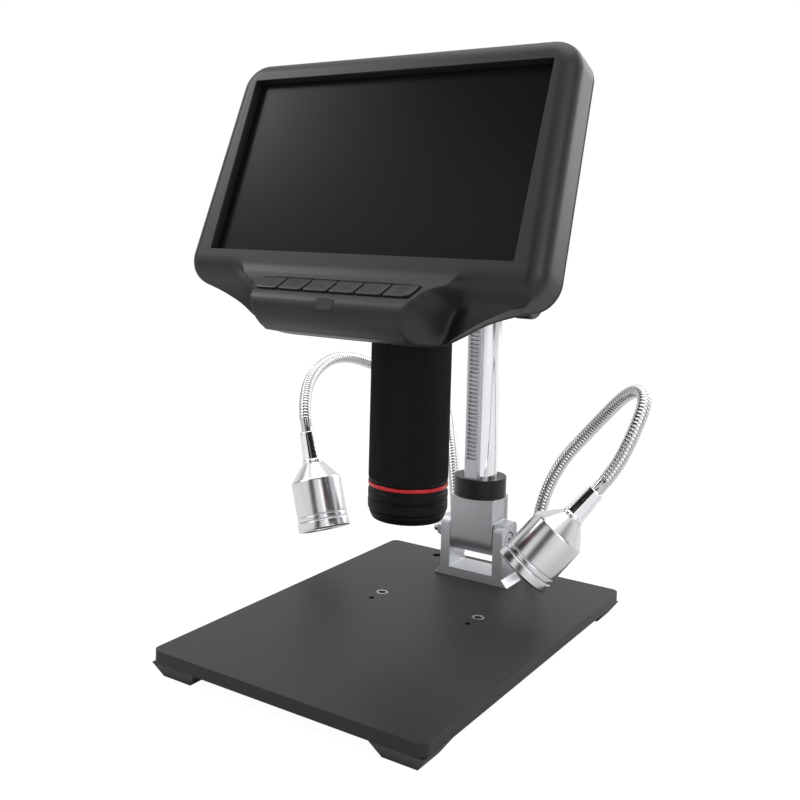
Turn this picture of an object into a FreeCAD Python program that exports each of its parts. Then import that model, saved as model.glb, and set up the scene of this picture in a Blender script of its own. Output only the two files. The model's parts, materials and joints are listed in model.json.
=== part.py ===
import FreeCAD, Part

import math
import os
import re

import Sketcher

# Screen microscope on a plate stand: a monitor and an upright camera barrel share one
# housing, which slides on a toothed post held in a tilting clevis, and two lamps stand
# on gooseneck arms.
# Frame: origin on the floor under the middle of the base plate, +Z up, the screen faces
# -Y and +X is on the user's right. Millimetres and degrees.

Vector = FreeCAD.Vector
X_AXIS = Vector(1, 0, 0)
Y_AXIS = Vector(0, 1, 0)
Z_AXIS = Vector(0, 0, 1)

# Driving dimensions, grouped by sub-assembly
SIZES = [
    # Base plate and feet
    ("base_width", 140), ("base_depth", 204), ("base_thick", 5.8), ("base_corner", 4),
    ("foot_height", 6.4), ("foot_width", 25), ("foot_depth", 22), ("foot_side_slope", 4.5),
    ("foot_end_slope", 3), ("foot_inset", 12.5), ("foot_screw_radius", 1.5),
    ("foot_head_radius", 3), ("foot_head_height", 1.8), ("foot_head_recess", 2.6),
    ("clip_spacing", 55.6), ("clip_place", 22), ("clip_bore", 2.1), ("clip_wall", 0.9),
    ("pin_spacing", 55.2), ("pin_place", 11.5), ("pin_radius", 1.5),
    ("cable_spacing", 70), ("cable_place", 92), ("cable_radius", 2.4),
    # Clevis bracket, pivot and tilting block
    ("post_place", 75), ("bracket_depth", 18), ("bracket_inside", 25.6), ("ear_thick", 5.6),
    ("bracket_floor", 5.2), ("ear_top", 32.5), ("ear_round", 4), ("toe_reach", 3.5),
    ("toe_height", 4), ("bracket_screw_place", 8), ("bracket_screw_radius", 2),
    ("bracket_head_radius", 3.6), ("bracket_head_height", 2.4), ("thread_depth", 4),
    ("pivot_height", 23), ("pivot_radius", 2.5), ("pin_clear", 0.05), ("head_sink", 3.4),
    ("head_radius", 4.4), ("head_space", 0.6), ("socket_size", 1.9), ("socket_depth", 2),
    ("washer_radius", 5), ("washer_thick", 1), ("nut_radius", 4.6), ("nut_thick", 4),
    ("bolt_tail", 3), ("side_gap", 0.3), ("block_depth", 19), ("block_top", 45.5),
    ("pocket_depth", 0.6), ("pocket_rim", 2), ("post_seat", 16),
    # Post, rack and collar
    ("post_radius", 9), ("post_wall", 3), ("post_top", 237), ("cap_thick", 3),
    ("cap_plug", 8), ("collar_radius", 14), ("collar_height", 10.5), ("collar_gap", 0.15),
    ("set_screw_radius", 1.5), ("rack_width", 7.5), ("rack_front", 11.5), ("rack_sink", 1.5),
    ("tooth_pitch", 2.2), ("tooth_depth", 1.5), ("tooth_width", 5.2), ("tooth_low", 78),
    ("rack_end", 4),
    # Focus carriage and knobs
    ("carriage_half", 21), ("carriage_front", 27), ("carriage_back", 15),
    ("carriage_low", 157), ("carriage_tall", 42), ("liner_wall", 1.5), ("slide_gap", 0.05),
    ("rack_gap", 0.5), ("pinion_teeth", 16), ("pinion_place", 169.5), ("mesh_gap", 0.35),
    ("shaft_radius", 3), ("pinion_width", 4.6), ("pinion_space", 0.8), ("knob_radius", 13),
    ("knob_thick", 11), ("knob_hub", 6.5), ("knob_gap", 0.4), ("knob_hub_long", 4),
    ("knob_seat", 8), ("brake_radius", 2), ("brake_reach", 9), ("brake_grip", 5),
    ("brake_grip_long", 8),
    # Head bracket between carriage and housing
    ("reach", 76.5), ("plate_half", 17), ("plate_tall", 36),
    ("head_screw_radius", 1.5), ("head_screw_across", 12), ("head_screw_apart", 24),
    ("head_screw_long", 5),
    # Monitor housing, in a frame that leans back with the screen
    ("screen_y", -42.2), ("screen_z", 231), ("lean", 21.3), ("case_half_top", 88.5),
    ("case_half_low", 91.5), ("case_up", 55), ("case_down", 58), ("case_corner", 14),
    ("case_split", 13), ("case_deep", 22), ("wall", 2.4), ("case_edge", 5),
    ("view_width", 156), ("view_height", 88), ("recess", 4.4), ("panel_margin", 5),
    ("panel_thick", 5), ("board_width", 110), ("board_height", 62), ("board_thick", 1.6),
    ("board_gap", 1.2), ("standoff_radius", 2.5),
    # Button chin
    ("chin_half", 41), ("chin_top", 55), ("shelf_out", 7.5), ("shelf_drop", 11.5),
    ("nose_out", 8.3), ("nose_drop", 15.5), ("lip_out", 5), ("lip_drop", 21),
    ("chin_down", 79), ("flank_half", 47), ("flank_front", 4), ("flank_mid_half", 64),
    ("flank_mid_drop", 67), ("flank_top_half", 87),
    ("button_pitch", 13.5), ("button_width", 12.3), ("button_long", 7.4), ("button_slant", 2.4),
    ("button_proud", 0.6), ("button_deep", 3.6), ("button_gap", 0.25), ("button_rest", 0.8),
    ("keyboard_thick", 1.4), ("keyboard_long", 82), ("keyboard_tall", 8),
    ("window_width", 9), ("window_height", 4.4), ("window_deep", 2), ("window_drop", 15),
    # Rear hump round the barrel
    ("hump_half", 30), ("hump_low", 158), ("hump_back", 38), ("hump_rise", 205),
    ("hump_top", 240), ("port_width", 14), ("port_height", 6), ("port_deep", 9),
    ("port_place", 14),
    # Camera barrel
    ("barrel_radius", 19.2), ("barrel_low", 62.7), ("nose_tall", 15.6), ("nose_taper", 2),
    ("nose_taper_tall", 5), ("ring_tall", 3), ("ring_gap", 0.3), ("barrel_top", 180),
    ("tube_radius", 15.2), ("tube_wall", 2), ("focus_gap", 0.06),
    ("nose_bore", 10), ("lens_radius", 9), ("lens_thick", 5),
    ("sensor_size", 18), ("sensor_thick", 3), ("barrel_gap", 0.4),
    # Gooseneck lamps
    ("arm_spacing", 48), ("arm_place", 95), ("arm_radius", 3.5), ("arm_bore", 1.4),
    ("rib_sink", 0.4), ("arm_ribs", 120), ("socket_tall", 3.8), ("socket_radius", 5.5),
    ("arm_nut_radius", 6), ("arm_nut_thick", 3), ("arm_thread_radius", 4),
    ("ferrule_long", 17.5), ("ferrule_root", 3.6), ("ferrule_end", 5.7),
    ("lamp_shoulder_radius", 6.6), ("lamp_shoulder_long", 9.5), ("lamp_radius", 14),
    ("lamp_body_long", 22), ("lamp_ring_radius", 14.5), ("lamp_ring_long", 5),
    ("lamp_wall", 1.6), ("lamp_lens_thick", 1.5), ("lamp_lens_sink", 1.5),
    ("led_board_thick", 1.6), ("led_radius", 1.4), ("led_tall", 1.6), ("led_ring", 6.5),
]

# Centre lines of the two gooseneck arms, from the socket to the lamp's ferrule
ARM_LEFT = [(-24, 95, 16), (-24, 95, 34), (-36, 110.5, 67.5), (-57, 138, 98), (-103, 134, 111),
            (-115, 104.5, 121.5), (-110.5, 68, 114), (-97.2, 42.6, 97.7), (-91.9, 40.4, 84)]
ARM_RIGHT = [(24, 95, 16), (24, 95, 42), (31, 104, 72), (53, 105, 99), (75.5, 93, 122),
             (89, 77, 121.5), (86.5, 66, 104), (78.5, 63, 84.5), (71.4, 58.1, 74.5)]

doc = FreeCAD.newDocument("Microscope")
sheet = doc.addObject("Spreadsheet::Sheet", "Sizes")
for row, (alias, value) in enumerate(SIZES, start=1):
    sheet.set(f"A{row}", alias)
    sheet.set(f"B{row}", str(value))
    sheet.setAlias(f"B{row}", alias)
doc.recompute()

NAMES = {alias for alias, value in SIZES}
S = {alias: float(sheet.get(alias)) for alias in NAMES}

# Places that several pieces share, as formulas of the sheet's values
MADE = {
    "base_top": "foot_height + base_thick",
    "ear_inner": "bracket_inside / 2",
    "ear_outer": "bracket_inside / 2 + ear_thick",
    "pivot_z": "foot_height + base_thick + pivot_height",
    "block_half": "bracket_inside / 2 - side_gap",
    "block_z": "foot_height + base_thick + block_top",
    "post_z": "foot_height + base_thick + block_top - post_seat",
    "barrel_y": "post_place - reach",
    "rack_back": "post_radius - rack_sink",
    "nose_top": "barrel_low + nose_tall",
    "ring_low": "barrel_low + nose_tall + ring_gap",
    "sleeve_low": "barrel_low + nose_tall + ring_gap + ring_tall",
    "pinion_radius": "tooth_pitch * pinion_teeth / 2 / pi",
    "pinion_y": "post_place - rack_front + tooth_depth / 2 - tooth_pitch * pinion_teeth / 2 / pi",
    "socket_top": "foot_height + base_thick + socket_tall",
}


def expand(text):
    """Write a formula out in sheet values only."""
    for _ in range(3):
        text = re.sub(r"[a-z_]+", lambda word: f"({MADE[word.group(0)]})" if word.group(0) in MADE
                      else word.group(0), text)
    return text


def bind(text):
    """The expression that the document keeps for a formula."""
    return re.sub(r"[a-z_]+", lambda word: "Sizes." + word.group(0) if word.group(0) in NAMES
                  else word.group(0), expand(str(text)))


def value_of(text):
    """The number that a formula gives now."""
    total = doc.getObject("Probe") or doc.addObject("App::FeaturePython", "Probe")
    if "Reading" not in total.PropertiesList:
        total.addProperty("App::PropertyFloat", "Reading")
    total.setExpression("Reading", bind(text))
    total.recompute()
    return total.Reading


def place(thing, x="0", y="0", z="0"):
    for letter, text in zip("xyz", (x, y, z)):
        thing.setExpression(f"Placement.Base.{letter}", bind(text))


def turn(thing, axis, angle):
    """Turn a primitive about an axis by a fixed number of degrees."""
    thing.Placement = FreeCAD.Placement(thing.Placement.Base, FreeCAD.Rotation(axis, angle))


def box(x0, x1, y0, y1, z0, z1):
    thing = doc.addObject("Part::Box", "Box")
    for name, low, high in (("Length", x0, x1), ("Width", y0, y1), ("Height", z0, z1)):
        thing.setExpression(name, bind(f"({high}) - ({low})"))
    place(thing, x0, y0, z0)
    return thing


def cylinder(radius, length, x="0", y="0", z="0", axis="z"):
    """A cylinder that starts at its place and runs along +X, +Y or +Z."""
    thing = doc.addObject("Part::Cylinder", "Cylinder")
    thing.setExpression("Radius", bind(radius))
    thing.setExpression("Height", bind(length))
    if axis == "x":
        turn(thing, Y_AXIS, 90)
    if axis == "y":
        turn(thing, X_AXIS, -90)
    place(thing, x, y, z)
    return thing


def prism(sides, radius, length, x="0", y="0", z="0", axis="z"):
    thing = doc.addObject("Part::Prism", "Prism")
    thing.Polygon = sides
    thing.setExpression("Circumradius", bind(radius))
    thing.setExpression("Height", bind(length))
    if axis == "x":
        turn(thing, Y_AXIS, 90)
    place(thing, x, y, z)
    return thing


def fuse(things):
    thing = doc.addObject("Part::MultiFuse", "Fuse")
    thing.Shapes = things
    return thing


def cut(base, tools):
    thing = doc.addObject("Part::Cut", "Cut")
    thing.Base = base
    thing.Tool = tools[0] if len(tools) == 1 else fuse(tools)
    return thing


def group(things):
    thing = doc.addObject("Part::Compound", "Group")
    thing.Links = things
    return thing


def shaped(shape):
    """A piece whose shape is worked out below from the sheet's values."""
    thing = doc.addObject("Part::Feature", "Shaped")
    thing.Shape = shape
    return thing


def body(name):
    return doc.addObject("PartDesign::Body", name)


def origin_plane(owner, role):
    return next(item for item in owner.Origin.OriginFeatures if item.Role == role)


def sketch_on(owner, role, lift="0"):
    """An empty sketch on one of the body's own origin planes."""
    sketch = owner.newObject("Sketcher::SketchObject", "Sketch")
    sketch.AttachmentSupport = [(origin_plane(owner, role), "")]
    sketch.MapMode = "FlatFace"
    sketch.setExpression(".AttachmentOffset.Base.z", bind(lift))
    return sketch


def outline(sketch, points):
    """Close a chain of lines, with each corner held to its two formulas."""
    spots = [Vector(value_of(x), value_of(y), 0) for x, y in points]
    first = sketch.GeometryCount
    for start, end in zip(spots, spots[1:] + spots[:1]):
        sketch.addGeometry(Part.LineSegment(start, end))
    for step in range(len(spots)):
        following = first + (step + 1) % len(spots)
        sketch.addConstraint(Sketcher.Constraint("Coincident", first + step, 2, following, 1))
    for step, (spot, corner) in enumerate(zip(spots, points)):
        for kind, text, now in (("DistanceX", corner[0], spot.x), ("DistanceY", corner[1], spot.y)):
            rule = sketch.addConstraint(Sketcher.Constraint(kind, -1, 1, first + step, 1, now))
            sketch.setExpression(f"Constraints[{rule}]", bind(text))


def circles(sketch, spots):
    """Circles at (x, y, radius), each held to its formulas."""
    for x, y, radius in spots:
        centre = Vector(value_of(x), value_of(y), 0)
        index = sketch.addGeometry(Part.Circle(centre, Z_AXIS, value_of(radius)))
        for kind, text, now in (("DistanceX", x, centre.x), ("DistanceY", y, centre.y)):
            rule = sketch.addConstraint(Sketcher.Constraint(kind, -1, 1, index, 3, now))
            sketch.setExpression(f"Constraints[{rule}]", bind(text))
        rule = sketch.addConstraint(Sketcher.Constraint("Radius", index, value_of(radius)))
        sketch.setExpression(f"Constraints[{rule}]", bind(radius))


def pad(owner, sketch, length, middle=False):
    feature = owner.newObject("PartDesign::Pad", "Pad")
    feature.Profile = sketch
    feature.setExpression("Length", bind(length))
    feature.Midplane = middle
    doc.recompute()
    return feature


def pocket_through(owner, sketch):
    before = owner.Shape.Volume
    feature = owner.newObject("PartDesign::Pocket", "Pocket")
    feature.Profile = sketch
    feature.Type = 1
    feature.Midplane = True
    doc.recompute()
    if owner.Shape.Volume >= before:
        raise RuntimeError("a pocket cut nothing")
    return feature


def revolve(owner, sketch, axis="V_Axis"):
    feature = owner.newObject("PartDesign::Revolution", "Revolution")
    feature.Profile = sketch
    feature.ReferenceAxis = (sketch, [axis])
    feature.Angle = 360
    doc.recompute()
    return feature


def fillet(owner, feature, chosen, radius):
    edges = [f"Edge{n}" for n, edge in enumerate(feature.Shape.Edges, start=1) if chosen(edge)]
    rounding = owner.newObject("PartDesign::Fillet", "Fillet")
    rounding.Base = (feature, edges)
    rounding.setExpression("Radius", bind(radius))
    doc.recompute()
    return rounding


def along(edge, axis):
    """True for a straight edge that runs along the axis."""
    if edge.Curve.TypeId != "Part::GeomLine":
        return False
    return abs(abs(edge.Curve.Direction.dot(axis)) - 1) < 1e-6


parts = {}


def keep(label, thing):
    """Name a finished piece: the label is its node and its file."""
    thing.Label = label
    parts[label] = thing
    return thing


# Base plate, feet and threaded inserts
SIDES = (("left", -1), ("right", 1))


def foot_places():
    """Corner name, outer X side and outer Y side of each foot."""
    return [(f"foot_{end}_{side}", way, sign) for end, sign in (("front", -1), ("back", 1))
            for side, way in SIDES]


def base_plate():
    owner = body("BasePlate")
    sketch = sketch_on(owner, "XY_Plane")
    half_x, half_y = "base_width / 2", "base_depth / 2"
    outline(sketch, [(f"-({half_x})", f"-({half_y})"), (half_x, f"-({half_y})"), (half_x, half_y),
                     (f"-({half_x})", half_y)])
    block = pad(owner, sketch, "base_thick")
    fillet(owner, block, lambda edge: along(edge, Z_AXIS), "base_corner")
    holes = sketch_on(owner, "XY_Plane")
    spots = []
    for way in (-1, 1):
        spots.append((f"{way} * clip_spacing / 2", "clip_place", "clip_bore + clip_wall"))
        spots.append((f"{way} * pin_spacing / 2", "pin_place", "pin_radius"))
        spots.append((f"{way} * cable_spacing / 2", "cable_place", "cable_radius"))
        spots.append((f"{way} * arm_spacing / 2", "arm_place", "arm_thread_radius"))
        spots.append((f"{way} * bracket_screw_place", "post_place", "bracket_screw_radius"))
    circles(holes, spots)
    pocket_through(owner, holes)
    place(owner, z="foot_height")
    blind = [cylinder("foot_screw_radius", "base_thick / 2", f"{way} * (base_width / 2 - foot_inset)",
                      f"{sign} * (base_depth / 2 - foot_depth / 2)", "foot_height")
             for _, way, sign in foot_places()]
    return cut(owner, blind)


def foot(way, sign):
    """A rubber corner foot: sloping sides, and a sunk screw up through it."""
    low_x = "base_width / 2 - foot_width" if way > 0 else "-base_width / 2"
    low_y = "base_depth / 2 - foot_depth" if sign > 0 else "-base_depth / 2"
    wedge = doc.addObject("Part::Wedge", "Foot")
    wedge.Xmin = wedge.Ymin = wedge.Zmin = 0
    for name, text in (("Xmax", "foot_width"), ("Ymax", "foot_height"), ("Zmax", "foot_depth"),
                       ("X2min", "foot_side_slope"), ("X2max", "foot_width - foot_side_slope"),
                       ("Z2min", "foot_end_slope"), ("Z2max", "foot_depth - foot_end_slope")):
        wedge.setExpression(name, bind(text))
    turn(wedge, X_AXIS, -90)
    place(wedge, low_x, low_y, "foot_height")
    x = f"{way} * (base_width / 2 - foot_inset)"
    y = f"{sign} * (base_depth / 2 - foot_depth / 2)"
    return cut(wedge, [cylinder("foot_screw_radius", "foot_height", x, y),
                       cylinder("foot_head_radius", "foot_head_recess", x, y)])


def foot_screw(way, sign):
    x = f"{way} * (base_width / 2 - foot_inset)"
    y = f"{sign} * (base_depth / 2 - foot_depth / 2)"
    head = cylinder("foot_head_radius", "foot_head_height", x, y,
                    "foot_head_recess - foot_head_height")
    shank = cylinder("foot_screw_radius", "foot_height + base_thick / 2 - foot_head_recess", x, y,
                     "foot_head_recess")
    return fuse([head, shank])


def clip_insert(way):
    """A bright threaded insert for a stage clip, flush with the plate."""
    x = f"{way} * clip_spacing / 2"
    return cut(cylinder("clip_bore + clip_wall", "base_thick", x, "clip_place", "foot_height"),
               [cylinder("clip_bore", "base_thick", x, "clip_place", "foot_height")])


keep("base_plate", base_plate())
for name, way, sign in foot_places():
    keep(name, foot(way, sign))
keep("foot_screws", group([foot_screw(way, sign) for _, way, sign in foot_places()]))
keep("clip_inserts", group([clip_insert(way) for _, way in SIDES]))


# Clevis bracket and its pivot
def hinge_bracket():
    owner = body("HingeBracket")
    sketch = sketch_on(owner, "XZ_Plane")
    right = [("ear_outer + toe_reach", "0"), ("ear_outer", "toe_height"), ("ear_outer", "ear_top"),
             ("ear_inner", "ear_top"), ("ear_inner", "bracket_floor")]
    left = [(f"-({x})", z) for x, z in reversed(right)]
    outline(sketch, right + left)
    profile = pad(owner, sketch, "bracket_depth", middle=True)

    def ear_corner(edge):
        return along(edge, X_AXIS) and edge.BoundBox.ZMin > S["ear_top"] - 1e-3

    fillet(owner, profile, ear_corner, "ear_round")
    bore = sketch_on(owner, "YZ_Plane")
    circles(bore, [("0", "pivot_height", "pivot_radius + pin_clear")])
    pocket_through(owner, bore)
    place(owner, y="post_place", z="base_top")
    sink = cylinder("head_radius + head_space", "head_sink", "ear_outer - head_sink", "post_place",
                    "pivot_z", "x")
    threads = [cylinder("bracket_screw_radius", "thread_depth", f"{way} * bracket_screw_place",
                        "post_place", "base_top") for way in (-1, 1)]
    return cut(owner, [sink] + threads)


def bracket_screw(way):
    x = f"{way} * bracket_screw_place"
    head = cylinder("bracket_head_radius", "bracket_head_height", x, "post_place",
                    "foot_height - bracket_head_height")
    shank = cylinder("bracket_screw_radius", "base_thick + thread_depth", x, "post_place",
                     "foot_height")
    return fuse([head, shank])


def pivot_bolt():
    seat = "ear_outer - head_sink"
    tip = "-ear_outer - washer_thick - nut_thick - bolt_tail"
    shank = cylinder("pivot_radius", f"({seat}) - ({tip})", tip, "post_place", "pivot_z", "x")
    head = cylinder("head_radius", "head_sink", seat, "post_place", "pivot_z", "x")
    socket = prism(6, "socket_size", "socket_depth", "ear_outer - socket_depth", "post_place",
                   "pivot_z", "x")
    return cut(fuse([shank, head]), [socket])


def ring_on_x(outer, inner, start, length, y, z):
    return cut(cylinder(outer, length, start, y, z, "x"), [cylinder(inner, length, start, y, z, "x")])


keep("hinge_bracket", hinge_bracket())
keep("bracket_screws", group([bracket_screw(way) for _, way in SIDES]))
keep("pivot_bolt", pivot_bolt())
keep("pivot_washer", ring_on_x("washer_radius", "pivot_radius", "-ear_outer - washer_thick",
                               "washer_thick", "post_place", "pivot_z"))
nut_start = "-ear_outer - washer_thick - nut_thick"
keep("pivot_nut", cut(prism(6, "nut_radius", "nut_thick", nut_start, "post_place", "pivot_z", "x"),
                      [cylinder("pivot_radius", "nut_thick", nut_start, "post_place", "pivot_z", "x")]))


# Tilting block, collar, post and rack
def hinge_block():
    half = "block_depth / 2"
    upright = box("-block_half", "block_half", f"post_place - {half}", f"post_place + {half}",
                  "pivot_z", "block_z")
    foot_round = cylinder(half, "2 * block_half", "-block_half", "post_place", "pivot_z", "x")
    bore = cylinder("pivot_radius + pin_clear", "2 * block_half", "-block_half", "post_place",
                    "pivot_z", "x")
    seat = cylinder("post_radius", "post_seat", "0", "post_place", "post_z")
    pockets = [box(f"{low}", f"{high}", f"post_place - {half} + pocket_rim",
                   f"post_place + {half} - pocket_rim", f"pivot_z + {half}", "block_z - pocket_rim")
               for low, high in (("-block_half", "-block_half + pocket_depth"),
                                 ("block_half - pocket_depth", "block_half"))]
    return cut(fuse([upright, foot_round]), [bore, seat] + pockets)


def rack_slot(low, high, gap):
    """The space of the rack bar between two heights, widened by a gap."""
    return box(f"-rack_width / 2 - {gap}", f"rack_width / 2 + {gap}",
               f"post_place - rack_front - {gap}", f"post_place - rack_back", low, high)


def post_collar():
    ring = cylinder("collar_radius", "collar_height", "0", "post_place", "block_z")
    bore = cylinder("post_radius + collar_gap", "collar_height", "0", "post_place", "block_z")
    screw = cylinder("set_screw_radius", "collar_radius - post_radius", "0",
                     "post_place + post_radius", "block_z + collar_height / 2", "y")
    return cut(ring, [bore, rack_slot("block_z", "block_z + collar_height", "collar_gap"), screw])


def post_tube():
    tube = cylinder("post_radius", "post_top - post_z", "0", "post_place", "post_z")
    bore = cylinder("post_radius - post_wall", "post_top - post_z", "0", "post_place", "post_z")
    return cut(tube, [bore, rack_slot("block_z", "post_top - rack_end", "0")])


def rack_bar():
    """The toothed bar: grooves of one pitch, narrower than the bar, above a plain foot."""
    bar = box("-rack_width / 2", "rack_width / 2", "post_place - rack_front",
              "post_place - rack_back", "block_z", "post_top - rack_end")
    doc.recompute()
    front = value_of("post_place - rack_front")
    top = S["post_top"] - S["rack_end"] - S["tooth_pitch"]
    steps = int((S["pinion_place"] - S["tooth_low"]) / S["tooth_pitch"])
    height = S["pinion_place"] - steps * S["tooth_pitch"]
    grooves = []
    while height < top:
        grooves.append(tooth_groove(front, height))
        height += S["tooth_pitch"]
    comb = shaped(Part.makeCompound(grooves))
    return cut(bar, [comb])


def tooth_groove(front, height):
    """One groove: wider at the face than at its root."""
    mouth, root = 0.34 * S["tooth_pitch"], 0.24 * S["tooth_pitch"]
    half, margin = S["tooth_width"] / 2, 0.5
    lean = (mouth - root) / S["tooth_depth"] * margin
    spots = [(front - margin, height - mouth - lean), (front + S["tooth_depth"], height - root),
             (front + S["tooth_depth"], height + root), (front - margin, height + mouth + lean)]
    wire = Part.makePolygon([Vector(-half, y, z) for y, z in spots + spots[:1]])
    return Part.Face(wire).extrude(Vector(2 * half, 0, 0))


def post_cap():
    disc = cylinder("post_radius", "cap_thick", "0", "post_place", "post_top")
    plug = cylinder("post_radius - post_wall", "cap_plug", "0", "post_place", "post_top - cap_plug")
    return fuse([disc, plug])


keep("hinge_block", hinge_block())
keep("post_collar", post_collar())
keep("collar_set_screw", cylinder("set_screw_radius", "collar_radius - post_radius", "0",
                                  "post_place + post_radius", "block_z + collar_height / 2", "y"))
keep("post_tube", post_tube())
keep("rack_bar", rack_bar())
keep("post_cap", post_cap())


# Focus carriage, pinion and knobs
carriage_high = "carriage_low + carriage_tall"


def brake_hole():
    return cylinder("brake_radius + pin_clear", "carriage_back - post_radius", "0",
                    "post_place + post_radius", "pinion_place", "y")


def carriage():
    shell = box("-carriage_half", "carriage_half", "post_place - carriage_front",
                "post_place + carriage_back", "carriage_low", carriage_high)
    bore = cylinder("post_radius + liner_wall", "carriage_tall", "0", "post_place", "carriage_low")
    gear_room = cylinder("pinion_radius + tooth_depth / 2 + pinion_space",
                         "tooth_width", "-tooth_width / 2", "pinion_y", "pinion_place", "x")
    axle = cylinder("shaft_radius + slide_gap", "2 * carriage_half", "-carriage_half", "pinion_y",
                    "pinion_place", "x")
    return cut(shell, [bore, rack_slot("carriage_low", carriage_high, "rack_gap"), gear_room, axle,
                       brake_hole()])


def carriage_liner():
    sleeve = cylinder("post_radius + liner_wall", "carriage_tall", "0", "post_place", "carriage_low")
    bore = cylinder("post_radius + slide_gap", "carriage_tall", "0", "post_place", "carriage_low")
    return cut(sleeve, [bore, rack_slot("carriage_low", carriage_high, "rack_gap"), brake_hole()])


def pinion_shaft():
    """Shaft and pinion in one: narrow teeth that clear the rack at every angle."""
    reach = "carriage_half + knob_gap + knob_seat"
    shaft = cylinder("shaft_radius", f"2 * ({reach})", f"-({reach})", "pinion_y", "pinion_place", "x")
    root = value_of("pinion_radius") - S["tooth_depth"] / 2
    tip = value_of("pinion_radius") + S["tooth_depth"] / 2 - S["mesh_gap"]
    wide, narrow = 0.2 * S["tooth_pitch"], 0.1 * S["tooth_pitch"]
    centre = Vector(0, value_of("pinion_y"), S["pinion_place"])
    start = Vector(-S["pinion_width"] / 2, centre.y, centre.z)
    teeth = []
    for step in range(int(S["pinion_teeth"])):
        angle = 360 * step / int(S["pinion_teeth"])
        spots = [(root - 0.5, -wide), (tip, -narrow), (tip, narrow), (root - 0.5, wide)]
        wire = Part.makePolygon([start + Vector(0, y, z) for y, z in spots + spots[:1]])
        tooth = Part.Face(wire).extrude(Vector(S["pinion_width"], 0, 0))
        tooth.rotate(centre, X_AXIS, angle)
        teeth.append(tooth)
    hub = Part.makeCylinder(root, S["pinion_width"], start, X_AXIS)
    return fuse([shaft, shaped(hub.fuse(teeth).removeSplitter())])


def focus_knob(way):
    """A knob turned as one piece, with a blind bore on the shaft."""
    owner = body("FocusKnob")
    sketch = sketch_on(owner, "XZ_Plane")
    inner = "carriage_half + knob_gap"
    shoulder = f"{inner} + knob_hub_long"
    outline(sketch, [(inner, "shaft_radius"), (inner, "knob_hub"), (shoulder, "knob_hub"),
                     (shoulder, "knob_radius - 1"), (f"{shoulder} + 1", "knob_radius"),
                     (f"{shoulder} + knob_thick - 1", "knob_radius"),
                     (f"{shoulder} + knob_thick", "knob_radius - 1"),
                     (f"{shoulder} + knob_thick", "0"), (f"{inner} + knob_seat", "0"),
                     (f"{inner} + knob_seat", "shaft_radius")])
    revolve(owner, sketch, "H_Axis")
    if way < 0:
        turn(owner, Z_AXIS, 180)
    place(owner, y="pinion_y", z="pinion_place")
    return owner


def brake_screw():
    shank = cylinder("brake_radius", "carriage_back - post_radius - slide_gap + brake_reach", "0",
                     "post_place + post_radius + slide_gap", "pinion_place", "y")
    grip = cylinder("brake_grip", "brake_grip_long", "0", "post_place + carriage_back + brake_reach",
                    "pinion_place", "y")
    return fuse([shank, grip])


keep("focus_carriage", carriage())
keep("carriage_liner", carriage_liner())
keep("pinion_shaft", pinion_shaft())
for side, way in SIDES:
    keep(f"focus_knob_{side}", focus_knob(way))
keep("brake_screw", brake_screw())


# Head bracket and its screws, bolted to the carriage and to the hump's rear wall
plate_front = "post_place - reach + hump_back"
plate_mid = "carriage_low + carriage_tall / 2"


def screw_spots():
    return [(f"{way} * head_screw_across", f"{plate_mid} + {rise} * head_screw_apart / 2")
            for way in (-1, 1) for rise in (-1, 1)]


def head_screw(x, z):
    return cylinder("head_screw_radius", f"post_place - carriage_front - ({plate_front}) + head_screw_long",
                    x, plate_front, z, "y")


def head_bracket():
    plate = box("-plate_half", "plate_half", plate_front, "post_place - carriage_front",
                f"{plate_mid} - plate_tall / 2", f"{plate_mid} + plate_tall / 2")
    return cut(plate, [head_screw(x, z) for x, z in screw_spots()])


keep("head_bracket", head_bracket())
parts["focus_carriage"] = keep("focus_carriage", cut(parts["focus_carriage"],
                                                     [head_screw(x, z) for x, z in screw_spots()]))
keep("head_screws", group([head_screw(x, z) for x, z in screw_spots()]))


# Monitor housing. Local frame: X across, Y into the case from its front face, Z up the screen
def lean_back(shape):
    """Carry a shape from the screen's own frame into the part's frame."""
    moved = shape.copy()
    moved.rotate(Vector(0, 0, 0), X_AXIS, -S["lean"])
    moved.translate(Vector(0, S["screen_y"], S["screen_z"]))
    return moved


def slab(points, deep_from, deep_to):
    """A solid between two depths, from an outline in (across, up)."""
    wire = Part.makePolygon([Vector(x, deep_from, z) for x, z in points + points[:1]])
    return Part.Face(wire).extrude(Vector(0, deep_to - deep_from, 0))


def strip(points, half):
    """A solid across the case, from a section in (depth, up)."""
    wire = Part.makePolygon([Vector(-half, y, z) for y, z in points + points[:1]])
    return Part.Face(wire).extrude(Vector(2 * half, 0, 0))


def case_slab(inset, deep_from, deep_to):
    top, low = S["case_half_top"] - inset, S["case_half_low"] - inset
    up, down = S["case_up"] - inset, S["case_down"] - inset
    solid = slab([(-low, -down), (low, -down), (top, up), (-top, up)], deep_from, deep_to)
    corners = [edge for edge in solid.Edges if along(edge, Y_AXIS)]
    return solid.makeFillet(S["case_corner"] - inset, corners)


def flank_slab(inset, deep_from, deep_to):
    """The skirt under the case, which narrows down to the chin."""
    rows = [(S["flank_top_half"], S["case_down"] - 6), (S["flank_mid_half"], S["flank_mid_drop"]),
            (S["flank_half"], S["chin_down"])]
    right = [(half - inset, -(drop - inset)) for half, drop in rows]
    return slab(right + [(-x, z) for x, z in reversed(right)], deep_from, deep_to)


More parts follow.
